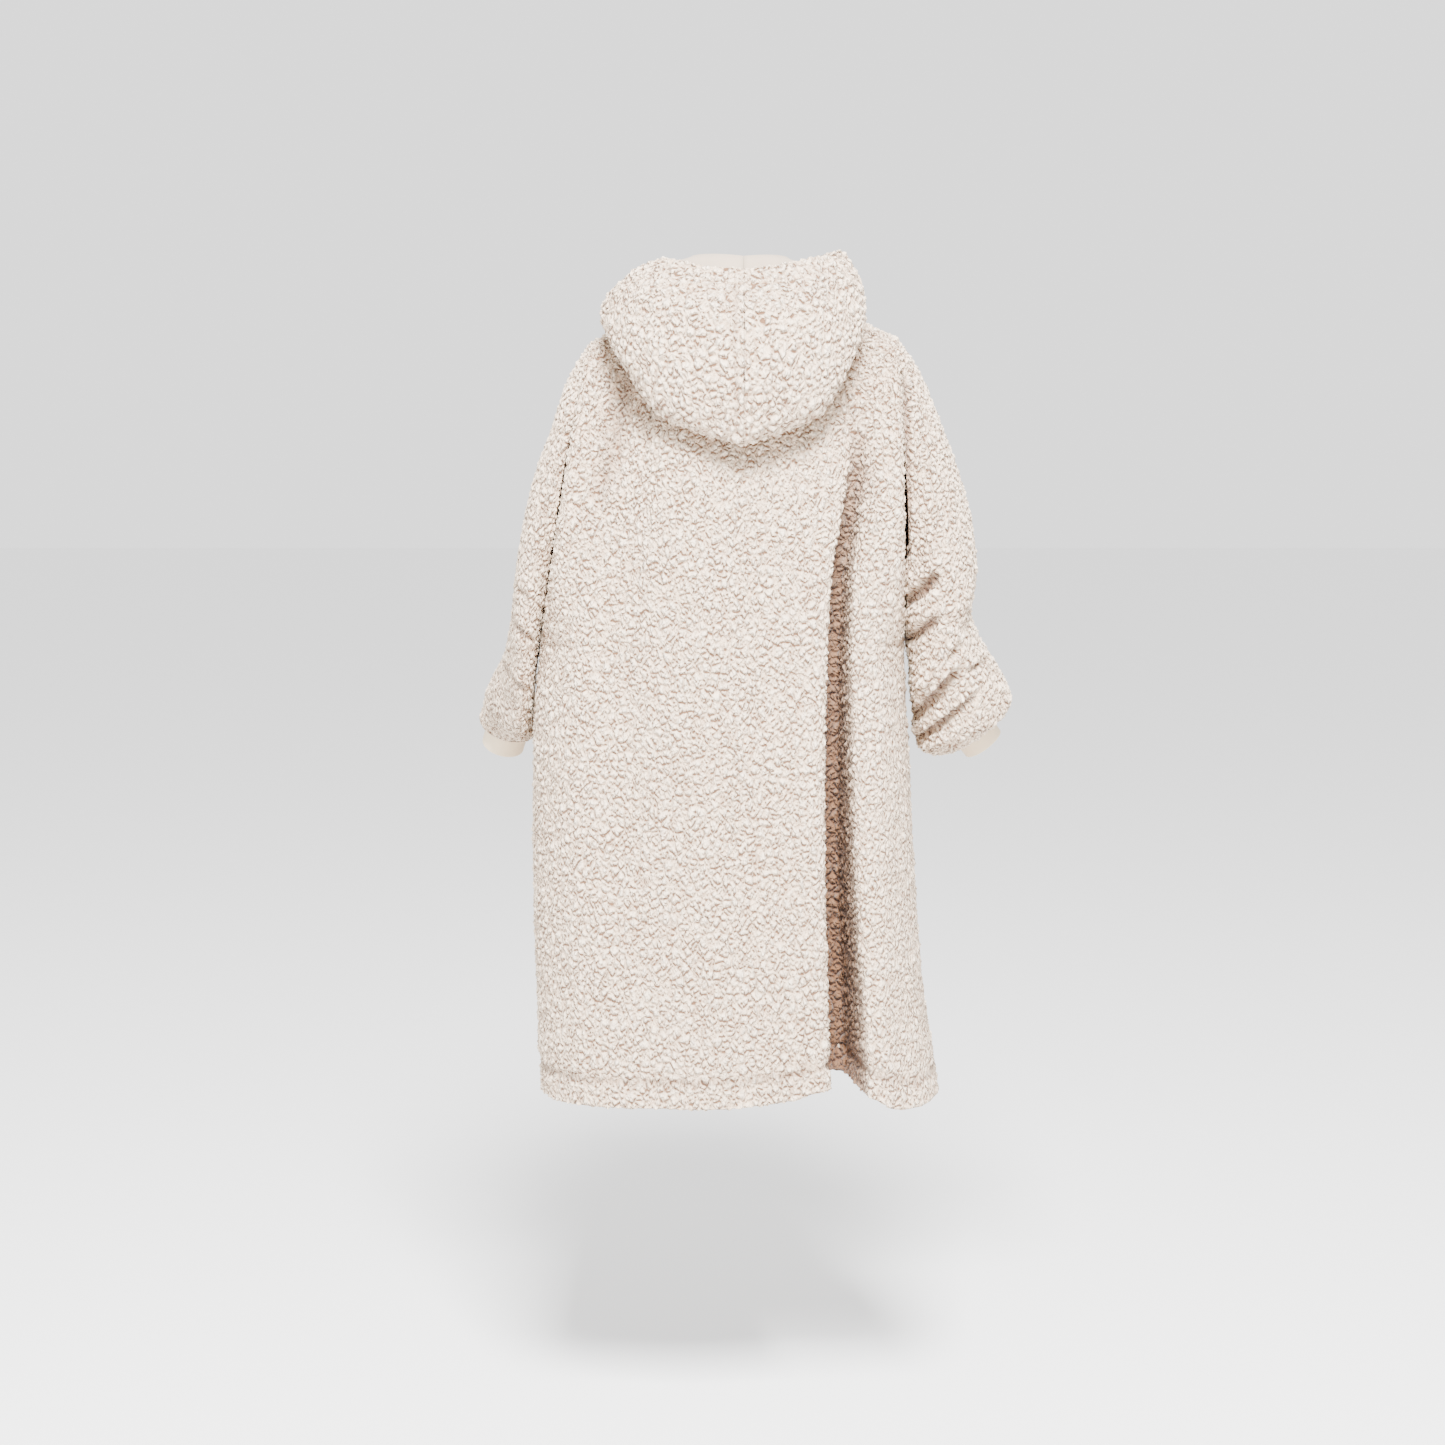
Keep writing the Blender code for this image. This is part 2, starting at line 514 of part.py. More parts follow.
def sleeve_ring(table, s, psi, side):
    """Points of a sleeve's ring, at the angles psi from its inner side (0) to its outer one."""
    read = {name: smooth(table["s"], table[name], s) for name in SLEEVE_COLUMNS[1:]}
    beta = 2 * psi
    oval_long = (1 - np.cos(beta)) / 2
    oval_deep = np.abs(np.sin(beta)) ** SLEEVE_OVAL
    hole_long = np.sin(psi) ** SHOULDER_ROUND
    hole_deep = np.abs(np.sin(beta)) ** ARMHOLE_ROUND
    oval = np.clip(read["oval"], 0, 1)
    out = hole_long + (oval_long - hole_long) * oval
    deep = side * read["half"] * (hole_deep + (oval_deep - hole_deep) * oval)
    x = read["inner_x"] + (read["outer_x"] - read["inner_x"]) * out
    z = read["inner_z"] + (read["outer_z"] - read["inner_z"]) * out
    y = read["middle_y"] + deep * np.cos(read["turn"])
    return np.stack([x, y, z - deep * np.sin(read["turn"])], axis=-1)


def wrist(hand):
    """The middle of a cuff's seam, its directions out and back, and the cuff's axis."""
    place = dict(zip(WRIST_COLUMNS, LEFT_WRIST if hand > 0 else RIGHT_WRIST))
    out = np.array([hand * math.cos(place["slant"]), 0, math.sin(place["slant"])])
    back = np.array([0, math.cos(place["turn"]), -math.sin(place["turn"])])
    axis = np.cross(back, out) * hand
    axis /= np.linalg.norm(axis)
    back = np.cross(out, axis) * hand
    return np.array([place["x"], place["y"], place["z"]]), out, back, axis


def wrist_ring(hand, radius, down):
    """A true circle round the cuff's axis, in the order of the sleeve's rings."""
    middle, out, deep, axis = wrist(hand)
    psi, side = ring_angles()
    along = -np.cos(2 * psi)[:, None] * out
    aside = (side * np.sin(2 * psi))[:, None] * deep
    return middle + radius * (along + aside) + down * axis


def ring_angles():
    """The angles and sides of a sleeve's ring, in the order of the armhole's loop."""
    up = np.linspace(0, math.pi / 2, DOME_ROWS + 1)
    psi = np.concatenate([up, up[-2:0:-1]])
    side = np.concatenate([np.ones(DOME_ROWS + 1), -np.ones(DOME_ROWS - 1)])
    return psi, side


def sleeve(hand):
    """The outer and inner faces of a sleeve, ring by ring, each ring closed on itself."""
    table = columns(SLEEVE_COLUMNS, LEFT_SLEEVE_ROWS if hand > 0 else RIGHT_SLEEVE_ROWS)
    lip_rows = LEFT_LIP_ROWS if hand > 0 else RIGHT_LIP_ROWS
    lip = columns(LIP_COLUMNS, lip_rows)
    psi, side = ring_angles()
    rings = [sleeve_ring(table, s, psi, side) for s in table["s"]]
    rings += [wrist_ring(hand, radius, down) for radius, down, _ in lip_rows]
    outer = np.array(rings)
    outer[0] = armhole(hand)
    walls = np.concatenate([table["wall"], lip["wall"]])
    normal = ring_normals(outer, hand)
    creases = LEFT_SLEEVE_CREASES if hand > 0 else RIGHT_SLEEVE_CREASES
    lift = crease_heights(outer, normal[..., 1], creases)
    lift += FRONT_SHARE * crease_heights(outer, -normal[..., 1], creases)
    fade = np.clip(np.arange(len(outer)) / SLEEVE_FADE, 0, 1)
    fade[len(table["s"]) - 1:] = 0
    creased = outer + normal * (lift * fade[:, None])[..., None]
    behind = outer if hand > 0 else creased  # the left sleeve's creases are only in its pile
    rim = -ring_normals(behind, hand)
    rim[0] = loop_rims(behind[0])
    rim[-1] = -wrist(hand)[3]
    outer, inner = creased, behind + walls[:, None, None] * rim
    outer[0, :, 0] += hand * SEAM_GAP
    inner[0, :, 0] += hand * SEAM_GAP
    return outer, inner


def ring_normals(rings, hand):
    closed = np.concatenate([rings[:, -1:], rings, rings[:, :1]], axis=1)
    return normals_of(closed, hand)[:, 1:-1]


def cuff(hand):
    """The outer and inner faces of a cuff, which carries on from its sleeve's last ring."""
    downs = CUFF_LENGTH * np.linspace(0, 1, CUFF_ROWS) - CUFF_UP
    outer = np.array([wrist_ring(hand, CUFF_OUTER, down) for down in downs])
    inner = np.array([wrist_ring(hand, CUFF_OUTER - CUFF_WALL, down) for down in downs])
    return outer, inner


def hood_profile(row, start):
    """The hood's pile side at one place of the neckline, from the seam to the rim, as
    distances out and up."""
    rise, roll, inner, low = row["rise"], row["roll"], row["inner"], row["low"]
    drop, belly, belly_up = row["drop"], row["belly"], row["belly_up"]
    rim, rim_up = row["rim"], row["rim_up"]
    marks = np.array([
        (0.0, 0.0),
        (0.25 * roll, 0.70 * rise),
        (0.75 * roll, rise),
        (roll + 0.35 * (inner - roll), rise - 0.20 * (rise + drop)),
        (inner - 0.15 * (inner - roll), rise - 0.62 * (rise + drop)),
        (inner, -drop + 0.12 * (rise + drop)),
        (low, -drop),
        (low + 0.72 * (belly - low), -drop + 0.30 * (belly_up + drop)),
        (belly, belly_up),
        (rim + 0.72 * (belly - rim), belly_up + 0.58 * (rim_up - belly_up)),
        (rim, rim_up),
    ])
    knots = np.arange(len(marks), dtype=float)
    fine = np.linspace(0, knots[-1], FINE)
    path = np.stack([smooth(knots, marks[:, i], fine) for i in range(2)], axis=-1)
    facing = math.radians(row["facing"])
    points = np.empty((FINE, 3))
    points[:, 0] = start[0] + path[:, 0] * math.cos(facing) * row["hand"]
    points[:, 1] = start[1] + path[:, 0] * math.sin(facing)
    points[:, 2] = start[2] + path[:, 1]
    return points


def neckline(hand):
    """The neckline's points on one side, from the middle of the back to that of the front."""
    back = back_row(2.0, BACK_STEPS)[BACK_STEPS[0]:][:2 * HOOD_BACK_STEPS + 1]
    front = front_row(2.0, FRONT_STEPS)[FRONT_STEPS[0]:][:2 * HOOD_FRONT_STEPS + 1]
    if hand > 0:
        return np.concatenate([back[HOOD_BACK_STEPS::-1], front[1:HOOD_FRONT_STEPS + 1]])
    return np.concatenate([back[HOOD_BACK_STEPS:], front[-2:HOOD_FRONT_STEPS - 1:-1]])


def hood(hand):
    """The outer and inner faces of one half of the hood."""
    table = columns(HOOD_COLUMNS, LEFT_HOOD_ROWS if hand > 0 else RIGHT_HOOD_ROWS)
    seam = neckline(hand)
    along = lengths(seam) / lengths(seam)[-1]
    outer = []
    for start, q in zip(seam, along):
        row = {name: float(smooth(table["q"], table[name], q)) for name in HOOD_COLUMNS[1:]}
        row["hand"] = hand
        fine = hood_profile(row, start)
        run = lengths(fine)
        even = np.linspace(0, run[-1], HOOD_ROWS)
        marked = run[np.linspace(0, FINE - 1, HOOD_ROWS).astype(int)]
        outer.append(read_line(fine, run, (even + 2 * marked) / 3))
    outer = np.array(outer)
    rim = -normals_of(outer, hand)
    rim[[0, -1], :, 0] = 0
    rim /= np.linalg.norm(rim, axis=-1, keepdims=True)
    for i, facing in enumerate(neck_facings(seam)):
        rim[i, 0] = neck_rim(facing)
    inner = outer + PILE_WALL * rim
    for face in (outer, inner):
        face[0, :, 0] += hand * SEAM_GAP / 2
        face[-1, :, 0] += hand * FRONT_GAP / 2
        face[:, 0, 2] += NECK_GAP
    return outer, inner


def wall(name, outer, inner, closed, colour, roughness):
    """A closed wall between two faces of points. Closed faces join their last column to
    their first. Rims are four triangles round a middle point, so that facing rims match."""
    rows, count = outer.shape[:2]
    vertices = [*outer.reshape(-1, 3), *inner.reshape(-1, 3)]
    inside = rows * count
    faces = []
    spans = count if closed else count - 1
    for row in range(rows - 1):
        for column in range(spans):
            after = (column + 1) % count
            a, b = row * count + column, row * count + after
            c, d = b + count, a + count
            faces.append((a, b, c, d))
            faces.append((inside + d, inside + c, inside + b, inside + a))
    edges = [(i, (i + 1) % count) for i in range(spans)]
    last = (rows - 1) * count
    runs = [(b, a) for a, b in edges] + [(last + a, last + b) for a, b in edges]
    if not closed:
        for row in range(rows - 1):
            left, right = row * count, row * count + count - 1
            runs += [(left, left + count), (right + count, right)]
    for a, b in runs:
        corners = (a, b, inside + b, inside + a)
        middle = len(vertices)
        vertices.append(sum(vertices[i] for i in corners) / 4)
        faces += [(corners[i], corners[(i + 1) % 4], middle) for i in range(4)]
    mesh = bpy.data.meshes.new(name)
    mesh.from_pydata([tuple(map(float, v)) for v in vertices], [], faces)
    middle_row, middle_column = rows // 2, count // 2
    across_face = outer[middle_row, middle_column + 1] - outer[middle_row, middle_column]
    along_face = outer[middle_row + 1, middle_column] - outer[middle_row, middle_column]
    out = outer[middle_row, middle_column] - inner[middle_row, middle_column]
    if np.dot(np.cross(across_face, along_face), out) < 0:
        mesh.flip_normals()
    mesh.shade_smooth()
    mesh.materials.append(finish(name, colour, roughness))
    item = bpy.data.objects.new(name, mesh)
    bpy.context.scene.collection.objects.link(item)
    return item


def finish(name, colour, roughness):
    material = bpy.data.materials.new(name)
    material.use_nodes = True
    shader = material.node_tree.nodes["Principled BSDF"]
    shader.inputs["Base Color"].default_value = (*colour, 1)
    shader.inputs["Roughness"].default_value = roughness
    shader.inputs["Metallic"].default_value = 0
    return material


def build():
    for item in list(bpy.data.objects):
        bpy.data.objects.remove(item)
    pile, rib = (0.83, 0.77, 0.71), (0.80, 0.72, 0.62)
    wall("back_panel", *panel(1), False, pile, 0.95)
    wall("front_panel", *panel(-1), False, pile, 0.95)
    for hand, word in ((1, "left"), (-1, "right")):
        wall("sleeve_" + word, *sleeve(hand), True, pile, 0.95)
        wall("cuff_" + word, *cuff(hand), True, rib, 0.85)
        wall("hood_" + word, *hood(hand), False, pile, 0.95)


build()
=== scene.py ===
"""Wearable blanket hoodie: curly pile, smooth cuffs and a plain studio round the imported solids.

The cloth is worked out from the same tables and in the same way as the solids, only finer, and
the curls of the pile are raised in its outer face. Metres, +Z up, the garment's back at +Y.
"""

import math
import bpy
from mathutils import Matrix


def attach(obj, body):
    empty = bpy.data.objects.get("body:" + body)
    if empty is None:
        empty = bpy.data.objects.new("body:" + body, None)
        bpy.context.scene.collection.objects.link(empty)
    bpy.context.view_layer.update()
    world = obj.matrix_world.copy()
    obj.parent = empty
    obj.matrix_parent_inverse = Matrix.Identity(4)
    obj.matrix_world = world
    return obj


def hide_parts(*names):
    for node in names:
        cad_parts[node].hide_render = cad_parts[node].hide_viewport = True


bl_info = {
    "name": "Wearable blanket hoodie",
    "version": (1, 0, 0),
    "blender": (4, 5, 0),
    "location": "3D View > Sidebar > Hoodie",
    "description": "Curly pile, smooth cuffs and a studio for a worn blanket hoodie",
    "category": "Object",
}

import bpy
import numpy as np
from bpy.props import FloatProperty, FloatVectorProperty, PointerProperty
from mathutils import Vector

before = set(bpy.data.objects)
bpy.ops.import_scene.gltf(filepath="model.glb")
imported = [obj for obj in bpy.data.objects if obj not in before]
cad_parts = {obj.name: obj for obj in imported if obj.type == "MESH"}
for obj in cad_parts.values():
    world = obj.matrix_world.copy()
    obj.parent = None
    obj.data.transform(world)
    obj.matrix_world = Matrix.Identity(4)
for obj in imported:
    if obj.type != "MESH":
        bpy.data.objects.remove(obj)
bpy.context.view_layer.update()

# Sizes in metres
PILE_WALL = 0.008  # knitted base and the pile on it
CUFF_WALL = 0.0025
SEAM_GAP = 0.0003
HEM_Z = -1.004
UNDERARM_Z = -0.441
HEM_FOLD = 0.030  # height of the turned hem
HEM_GROOVE = 0.004  # how far the stitching pulls the pile in
HEM_GROOVE_WIDTH = 0.008
HEM_STATIONS = (0, 0.6, 1, 1.4)  # rows at the hem, in heights of the turned hem

# The body below the arms: where a level section ends at left and right, how far it stands
# out behind and in front, and how square it is (2 is an ellipse)
BODY_COLUMNS = ("z", "left", "right", "back", "front", "square")
BODY_ROWS = (
    (-1.004, 0.250, -0.262, 0.184, 0.196, 3.20),
    (-0.960, 0.253, -0.256, 0.183, 0.194, 3.10),
    (-0.905, 0.254, -0.246, 0.182, 0.190, 3.00),
    (-0.830, 0.257, -0.238, 0.180, 0.186, 2.90),
    (-0.750, 0.259, -0.232, 0.178, 0.182, 2.80),
    (-0.670, 0.259, -0.227, 0.175, 0.178, 2.70),
    (-0.595, 0.258, -0.224, 0.172, 0.174, 2.60),
    (-0.520, 0.256, -0.219, 0.167, 0.170, 2.55),
    (-0.441, 0.247, -0.2155, 0.160, 0.165, 2.50),
)

# How far the hem rises above its level, from right to left
HEM_COLUMNS = ("x", "back", "front")
HEM_ROWS = (
    (-0.270, -0.006, -0.006),
    (-0.215, -0.010, 0.004),
    (-0.165, 0.008, 0.010),
    (-0.115, 0.019, 0.004),
    (-0.060, 0.006, -0.002),
    (0.000, 0.000, 0.002),
    (0.100, -0.002, 0.008),
    (0.180, -0.003, 0.002),
    (0.260, -0.004, -0.004),
)
HEM_REACH = 2.0  # how quickly that dies away upwards

# Shoulder seams and neckline
TIP_LEFT = (0.185, -0.066)  # x and z where the shoulder seam meets the armhole
TIP_RIGHT = (-0.205, -0.058)
NECK_LEFT = (0.086, -0.008)  # x and z where the shoulder seam meets the neckline
NECK_RIGHT = (-0.086, -0.002)
NECK_BACK = (0.058, 0.010)  # y depth and z of the neckline at the centre
NECK_FRONT = (0.092, -0.062)
SHOULDER_ROUND = 1.25  # 1 is a circle's quarter over the shoulder, more is flatter
ARMHOLE_DEPTH = 0.088  # half of the armhole's width, front to back
ARMHOLE_REACH = 7.0  # how quickly the panel bends out to the armhole
ARMHOLE_ROUND = 0.75
NECK_ROUND = 1.4  # how late the neckline dips, from its ends to its middle

# The one deep fold, which falls from below the right shoulder blade to the hem
FOLD_COLUMNS = ("z", "x", "depth", "lip", "valley")
FOLD_ROWS = (
    (-1.004, -0.142, 0.125, 0.019, 0.011),
    (-0.900, -0.138, 0.122, 0.018, 0.011),
    (-0.750, -0.132, 0.112, 0.018, 0.010),
    (-0.600, -0.129, 0.095, 0.017, 0.010),
    (-0.450, -0.129, 0.078, 0.016, 0.009),
    (-0.350, -0.133, 0.062, 0.015, 0.008),
    (-0.260, -0.146, 0.036, 0.015, 0.008),
    (-0.170, -0.156, 0.000, 0.015, 0.008),
    (0.100, -0.146, 0.000, 0.015, 0.008),
)
FOLD_STEEP = math.radians(84)  # the steepest that its sides turn inwards
FOLD_LEAN = math.radians(6)  # how far it turns from straight forward towards the middle
FOLD_LEAST = 0.024  # half the width of cloth that the fold's own columns cover
FOLD_MARGIN = 0.008
FOLD_MOST = 0.8  # how much of the cloth right of the fold those columns may take
FOLD_LOW_MARK = -0.12  # where the columns next to the fold begin at the hem, -1 is the right side

# Soft creases, as lines seen from behind or in front: troughs have a minus height. Each dies
# away past its ends, over TAPER widths, and where the cloth turns away from that side.
CREASE_COLUMNS = ("x0", "z0", "x1", "z1", "width", "height")
CREASE_TAPER = 2.2
CREASE_FACING = 1.6  # full from where the cloth faces that side by 1 / 1.6
BACK_CREASES = (
    (0.150, -0.150, 0.135, -0.700, 0.028, -0.007),
    (0.072, -0.190, 0.060, -0.520, 0.045, 0.007),
    (-0.045, -0.260, -0.062, -0.960, 0.035, -0.006),
    (0.195, -0.420, 0.185, -0.960, 0.030, 0.006),
    (0.020, -0.600, 0.030, -1.004, 0.050, 0.006),
    (-0.180, -0.300, -0.186, -1.004, 0.016, 0.006),
)
FRONT_CREASES = (
    (0.120, -0.240, 0.150, -1.004, 0.026, -0.020),
    (-0.130, -0.220, -0.165, -1.004, 0.028, -0.026),
    (0.030, -0.330, 0.040, -1.004, 0.030, -0.010),
    (-0.045, -0.420, -0.070, -1.004, 0.034, 0.012),
    (0.085, -0.420, 0.100, -1.004, 0.030, 0.012),
    (-0.060, -0.110, 0.060, -0.150, 0.022, -0.006),
)
RIGHT_SLEEVE_CREASES = (
    (-0.236, -0.368, -0.207, -0.400, 0.013, -0.010),
    (-0.240, -0.424, -0.206, -0.462, 0.014, -0.014),
    (-0.275, -0.490, -0.216, -0.552, 0.014, -0.012),
    (-0.270, -0.545, -0.224, -0.574, 0.011, -0.009),
    (-0.262, -0.400, -0.225, -0.428, 0.013, 0.007),
    (-0.290, -0.455, -0.222, -0.505, 0.016, 0.008),
    (-0.318, -0.435, -0.285, -0.452, 0.012, -0.008),
    (-0.226, -0.130, -0.218, -0.340, 0.013, -0.009),
)
LEFT_SLEEVE_CREASES = (
    (0.222, -0.150, 0.240, -0.330, 0.014, -0.0025),
    (0.256, -0.330, 0.282, -0.352, 0.013, -0.0020),
    (0.258, -0.400, 0.290, -0.424, 0.013, -0.0025),
    (0.262, -0.452, 0.300, -0.482, 0.014, -0.0030),
    (0.264, -0.500, 0.310, -0.540, 0.013, -0.0030),
)

SLEEVE_OVAL = 0.9  # 1 is an ellipse, less is squarer
FRONT_SHARE = 0.8  # how deep the sleeves' creases are in front, beside those behind

# The sleeves, ring by ring from armhole to cuff: the point of each ring farthest from the
# body and the one nearest to it, how far the ring's middle lies forward, half its width
# front to back, how far it turns with the forearm (radians), how oval it is, and its wall
SLEEVE_COLUMNS = (
    "s", "outer_x", "outer_z", "inner_x", "inner_z", "middle_y", "half", "turn", "oval", "wall",
)
RIGHT_SLEEVE_ROWS = (
    (0.00, -0.2050, -0.0580, -0.2155, -0.4410, 0.000, 0.088, 0.00, 0.00, 0.008),
    (0.08, -0.2330, -0.1010, -0.2180, -0.4570, 0.000, 0.091, 0.00, 0.35, 0.008),
    (0.17, -0.2600, -0.1640, -0.2200, -0.4680, 0.002, 0.095, 0.00, 0.70, 0.008),
    (0.26, -0.2850, -0.2310, -0.2215, -0.4800, 0.002, 0.097, 0.02, 0.90, 0.008),
    (0.35, -0.3010, -0.2890, -0.2230, -0.4950, 0.000, 0.096, 0.04, 1.00, 0.008),
    (0.44, -0.3080, -0.3480, -0.2245, -0.5100, -0.003, 0.094, 0.06, 1.00, 0.008),
    (0.53, -0.3020, -0.4060, -0.2258, -0.5260, -0.008, 0.090, 0.09, 1.00, 0.008),
    (0.62, -0.3150, -0.4380, -0.2270, -0.5430, -0.014, 0.087, 0.12, 1.00, 0.008),
    (0.73, -0.3350, -0.4700, -0.2290, -0.5620, -0.022, 0.084, 0.15, 1.00, 0.008),
    (0.84, -0.3520, -0.5010, -0.2390, -0.5820, -0.030, 0.079, 0.18, 1.00, 0.008),
    (0.93, -0.3580, -0.5180, -0.2560, -0.5880, -0.038, 0.067, 0.20, 1.00, 0.008),
    (1.00, -0.3520, -0.5270, -0.2680, -0.5870, -0.045, 0.052, 0.22, 1.00, 0.007),
)
LEFT_SLEEVE_ROWS = (
    (0.00, 0.1850, -0.0660, 0.2470, -0.4410, 0.000, 0.088, 0.00, 0.00, 0.008),
    (0.08, 0.2120, -0.1120, 0.2490, -0.4520, 0.000, 0.090, 0.00, 0.35, 0.007),
    (0.17, 0.2340, -0.1750, 0.2510, -0.4630, 0.000, 0.092, 0.00, 0.70, 0.006),
    (0.26, 0.2550, -0.2320, 0.2530, -0.4740, -0.002, 0.094, 0.03, 0.90, 0.005),
    (0.35, 0.2690, -0.2900, 0.2550, -0.4870, -0.006, 0.095, 0.07, 1.00, 0.005),
    (0.44, 0.2790, -0.3450, 0.2565, -0.5010, -0.012, 0.096, 0.12, 1.00, 0.005),
    (0.53, 0.2850, -0.3940, 0.2578, -0.5150, -0.022, 0.096, 0.18, 1.00, 0.005),
    (0.62, 0.2920, -0.4340, 0.2588, -0.5290, -0.034, 0.094, 0.26, 1.00, 0.005),
    (0.73, 0.3010, -0.4700, 0.2598, -0.5440, -0.050, 0.090, 0.36, 1.00, 0.005),
    (0.84, 0.3170, -0.5000, 0.2600, -0.5560, -0.068, 0.080, 0.42, 1.00, 0.005),
    (0.93, 0.3275, -0.5200, 0.2585, -0.5560, -0.086, 0.064, 0.46, 1.00, 0.005),
    (1.00, 0.3310, -0.5380, 0.2565, -0.5600, -0.098, 0.050, 0.48, 1.00, 0.005),
)
# Where the sleeve is gathered into its cuff: the middle of the seam, how far the seam rises
# outwards and how far it turns forward (radians)
WRIST_COLUMNS = ("x", "y", "z", "slant", "turn")
RIGHT_WRIST = (-0.2935, -0.046, -0.5415, 0.66, 0.22)
LEFT_WRIST = (0.2940, -0.102, -0.5470, 0.30, 0.48)
# The sleeve's end hangs over the seam in a soft roll, as circles round the cuff's axis. The
# left one is narrow, so the pile is thin in it.
LIP_COLUMNS = ("radius", "down", "wall")
RIGHT_LIP_ROWS = (
    (0.0435, 0.0185, 0.005),
    (0.0385, 0.0215, 0.004),
    (0.0345, 0.0175, 0.004),
    (0.0325, 0.0080, 0.004),
    (0.0283, 0.0000, 0.004),
)
LEFT_LIP_ROWS = (
    (0.0400, 0.0140, 0.0035),
    (0.0376, 0.0180, 0.0025),
    (0.0340, 0.0160, 0.0025),
    (0.0318, 0.0080, 0.0025),
    (0.0283, 0.0000, 0.0025),
)
CUFF_LENGTH = 0.052
CUFF_UP = 0.004  # how far the cuff's edge reaches into the seam
CUFF_OUTER = 0.028

# The hood, let down, from the middle of the back (0) to the middle of the front (1). The cloth
# rises from the neckline, rolls outwards, drops behind, and comes up again to its rim. All
# are distances out from the neckline or up from it.
HOOD_COLUMNS = (
    "q", "facing", "rise", "roll", "inner", "low", "drop", "belly", "belly_up", "rim", "rim_up",
)
LEFT_HOOD_ROWS = (
    (0.00, 90, 0.022, 0.026, 0.086, 0.112, 0.205, 0.142, -0.110, 0.092, 0.008),
    (0.10, 76, 0.023, 0.026, 0.083, 0.109, 0.190, 0.140, -0.100, 0.090, 0.014),
    (0.20, 60, 0.024, 0.025, 0.072, 0.099, 0.162, 0.135, -0.078, 0.084, 0.026),
    (0.30, 43, 0.025, 0.023, 0.056, 0.080, 0.094, 0.120, -0.050, 0.076, 0.022),
    (0.40, 26, 0.026, 0.020, 0.040, 0.058, 0.034, 0.092, -0.022, 0.062, 0.014),
    (0.50, 8, 0.024, 0.017, 0.029, 0.041, 0.000, 0.062, 0.010, 0.046, 0.018),
    (0.62, -14, 0.020, 0.014, 0.022, 0.031, -0.012, 0.046, 0.018, 0.036, 0.034),
    (0.75, -38, 0.014, 0.010, 0.016, 0.022, -0.016, 0.034, 0.026, 0.030, 0.044),
    (0.88, -64, 0.012, 0.008, 0.012, 0.016, -0.017, 0.024, 0.030, 0.022, 0.048),
    (1.00, -88, 0.012, 0.006, 0.010, 0.013, -0.018, 0.019, 0.030, 0.018, 0.046),
)
RIGHT_HOOD_ROWS = (
    (0.00, 90, 0.022, 0.026, 0.086, 0.112, 0.205, 0.142, -0.110, 0.092, 0.008),
    (0.10, 76, 0.023, 0.026, 0.083, 0.109, 0.186, 0.139, -0.098, 0.091, 0.016),
    (0.20, 60, 0.024, 0.025, 0.072, 0.099, 0.160, 0.132, -0.078, 0.088, 0.030),
    (0.30, 43, 0.025, 0.023, 0.056, 0.078, 0.090, 0.112, -0.050, 0.078, 0.042),
    (0.40, 26, 0.026, 0.020, 0.040, 0.054, 0.028, 0.082, -0.014, 0.060, 0.036),
    (0.50, 8, 0.024, 0.017, 0.029, 0.041, -0.004, 0.058, 0.012, 0.046, 0.030),
    (0.62, -14, 0.020, 0.014, 0.022, 0.031, -0.012, 0.045, 0.019, 0.036, 0.038),
    (0.75, -38, 0.014, 0.010, 0.016, 0.022, -0.016, 0.034, 0.026, 0.030, 0.045),
    (0.88, -64, 0.012, 0.008, 0.012, 0.016, -0.017, 0.024, 0.030, 0.022, 0.048),
    (1.00, -88, 0.012, 0.006, 0.010, 0.013, -0.018, 0.019, 0.030, 0.018, 0.046),
)
SEAM_SINK = 0.43  # how steeply the neckline's seam allowance points down and in
NECK_GAP = 0.0013  # the neckline's seam slants, so that it's this much in height
FRONT_GAP = 0.003  # between the hood's halves where they meet at the throat

# How finely the cloth is divided, about 3 mm. Every count is a multiple of COARSE, because
# the plain inner face has one point to every COARSE of the outer one.
COARSE = 4
LOWER_ROWS = 172
DOME_ROWS = 160
BACK_STEPS = (80, 34, 34, 20, 88, 16)  # edge, neck, centre, neck, fold, fold, edge
FRONT_STEPS = (64, 44, 44, 64)
HOOD_BACK_STEPS = 80
HOOD_FRONT_STEPS = 56
NECK_BACK_STEPS = (8, HOOD_BACK_STEPS, HOOD_BACK_STEPS, 3, 20, 4)
NECK_FRONT_STEPS = (7, HOOD_FRONT_STEPS, HOOD_FRONT_STEPS, 7)
SLEEVE_ROWS = 176
HOOD_ROWS = 184
CUFF_ROWS = 24
ROLL_ROWS = 8  # round a free edge
ROLL_REACH = 0.85 * math.pi
FINE = 241  # points on a line before it is divided evenly
FEW = 25  # points on a short, nearly straight one
EDGE_COLUMNS = 17  # over which a crease fades in from a panel's side
TOP_SHARE = 4  # a crease fades out over the last 1/4 of the way to the shoulder seam
SLEEVE_FADE = 1.5  # rings of the table over which a crease fades in from the armhole

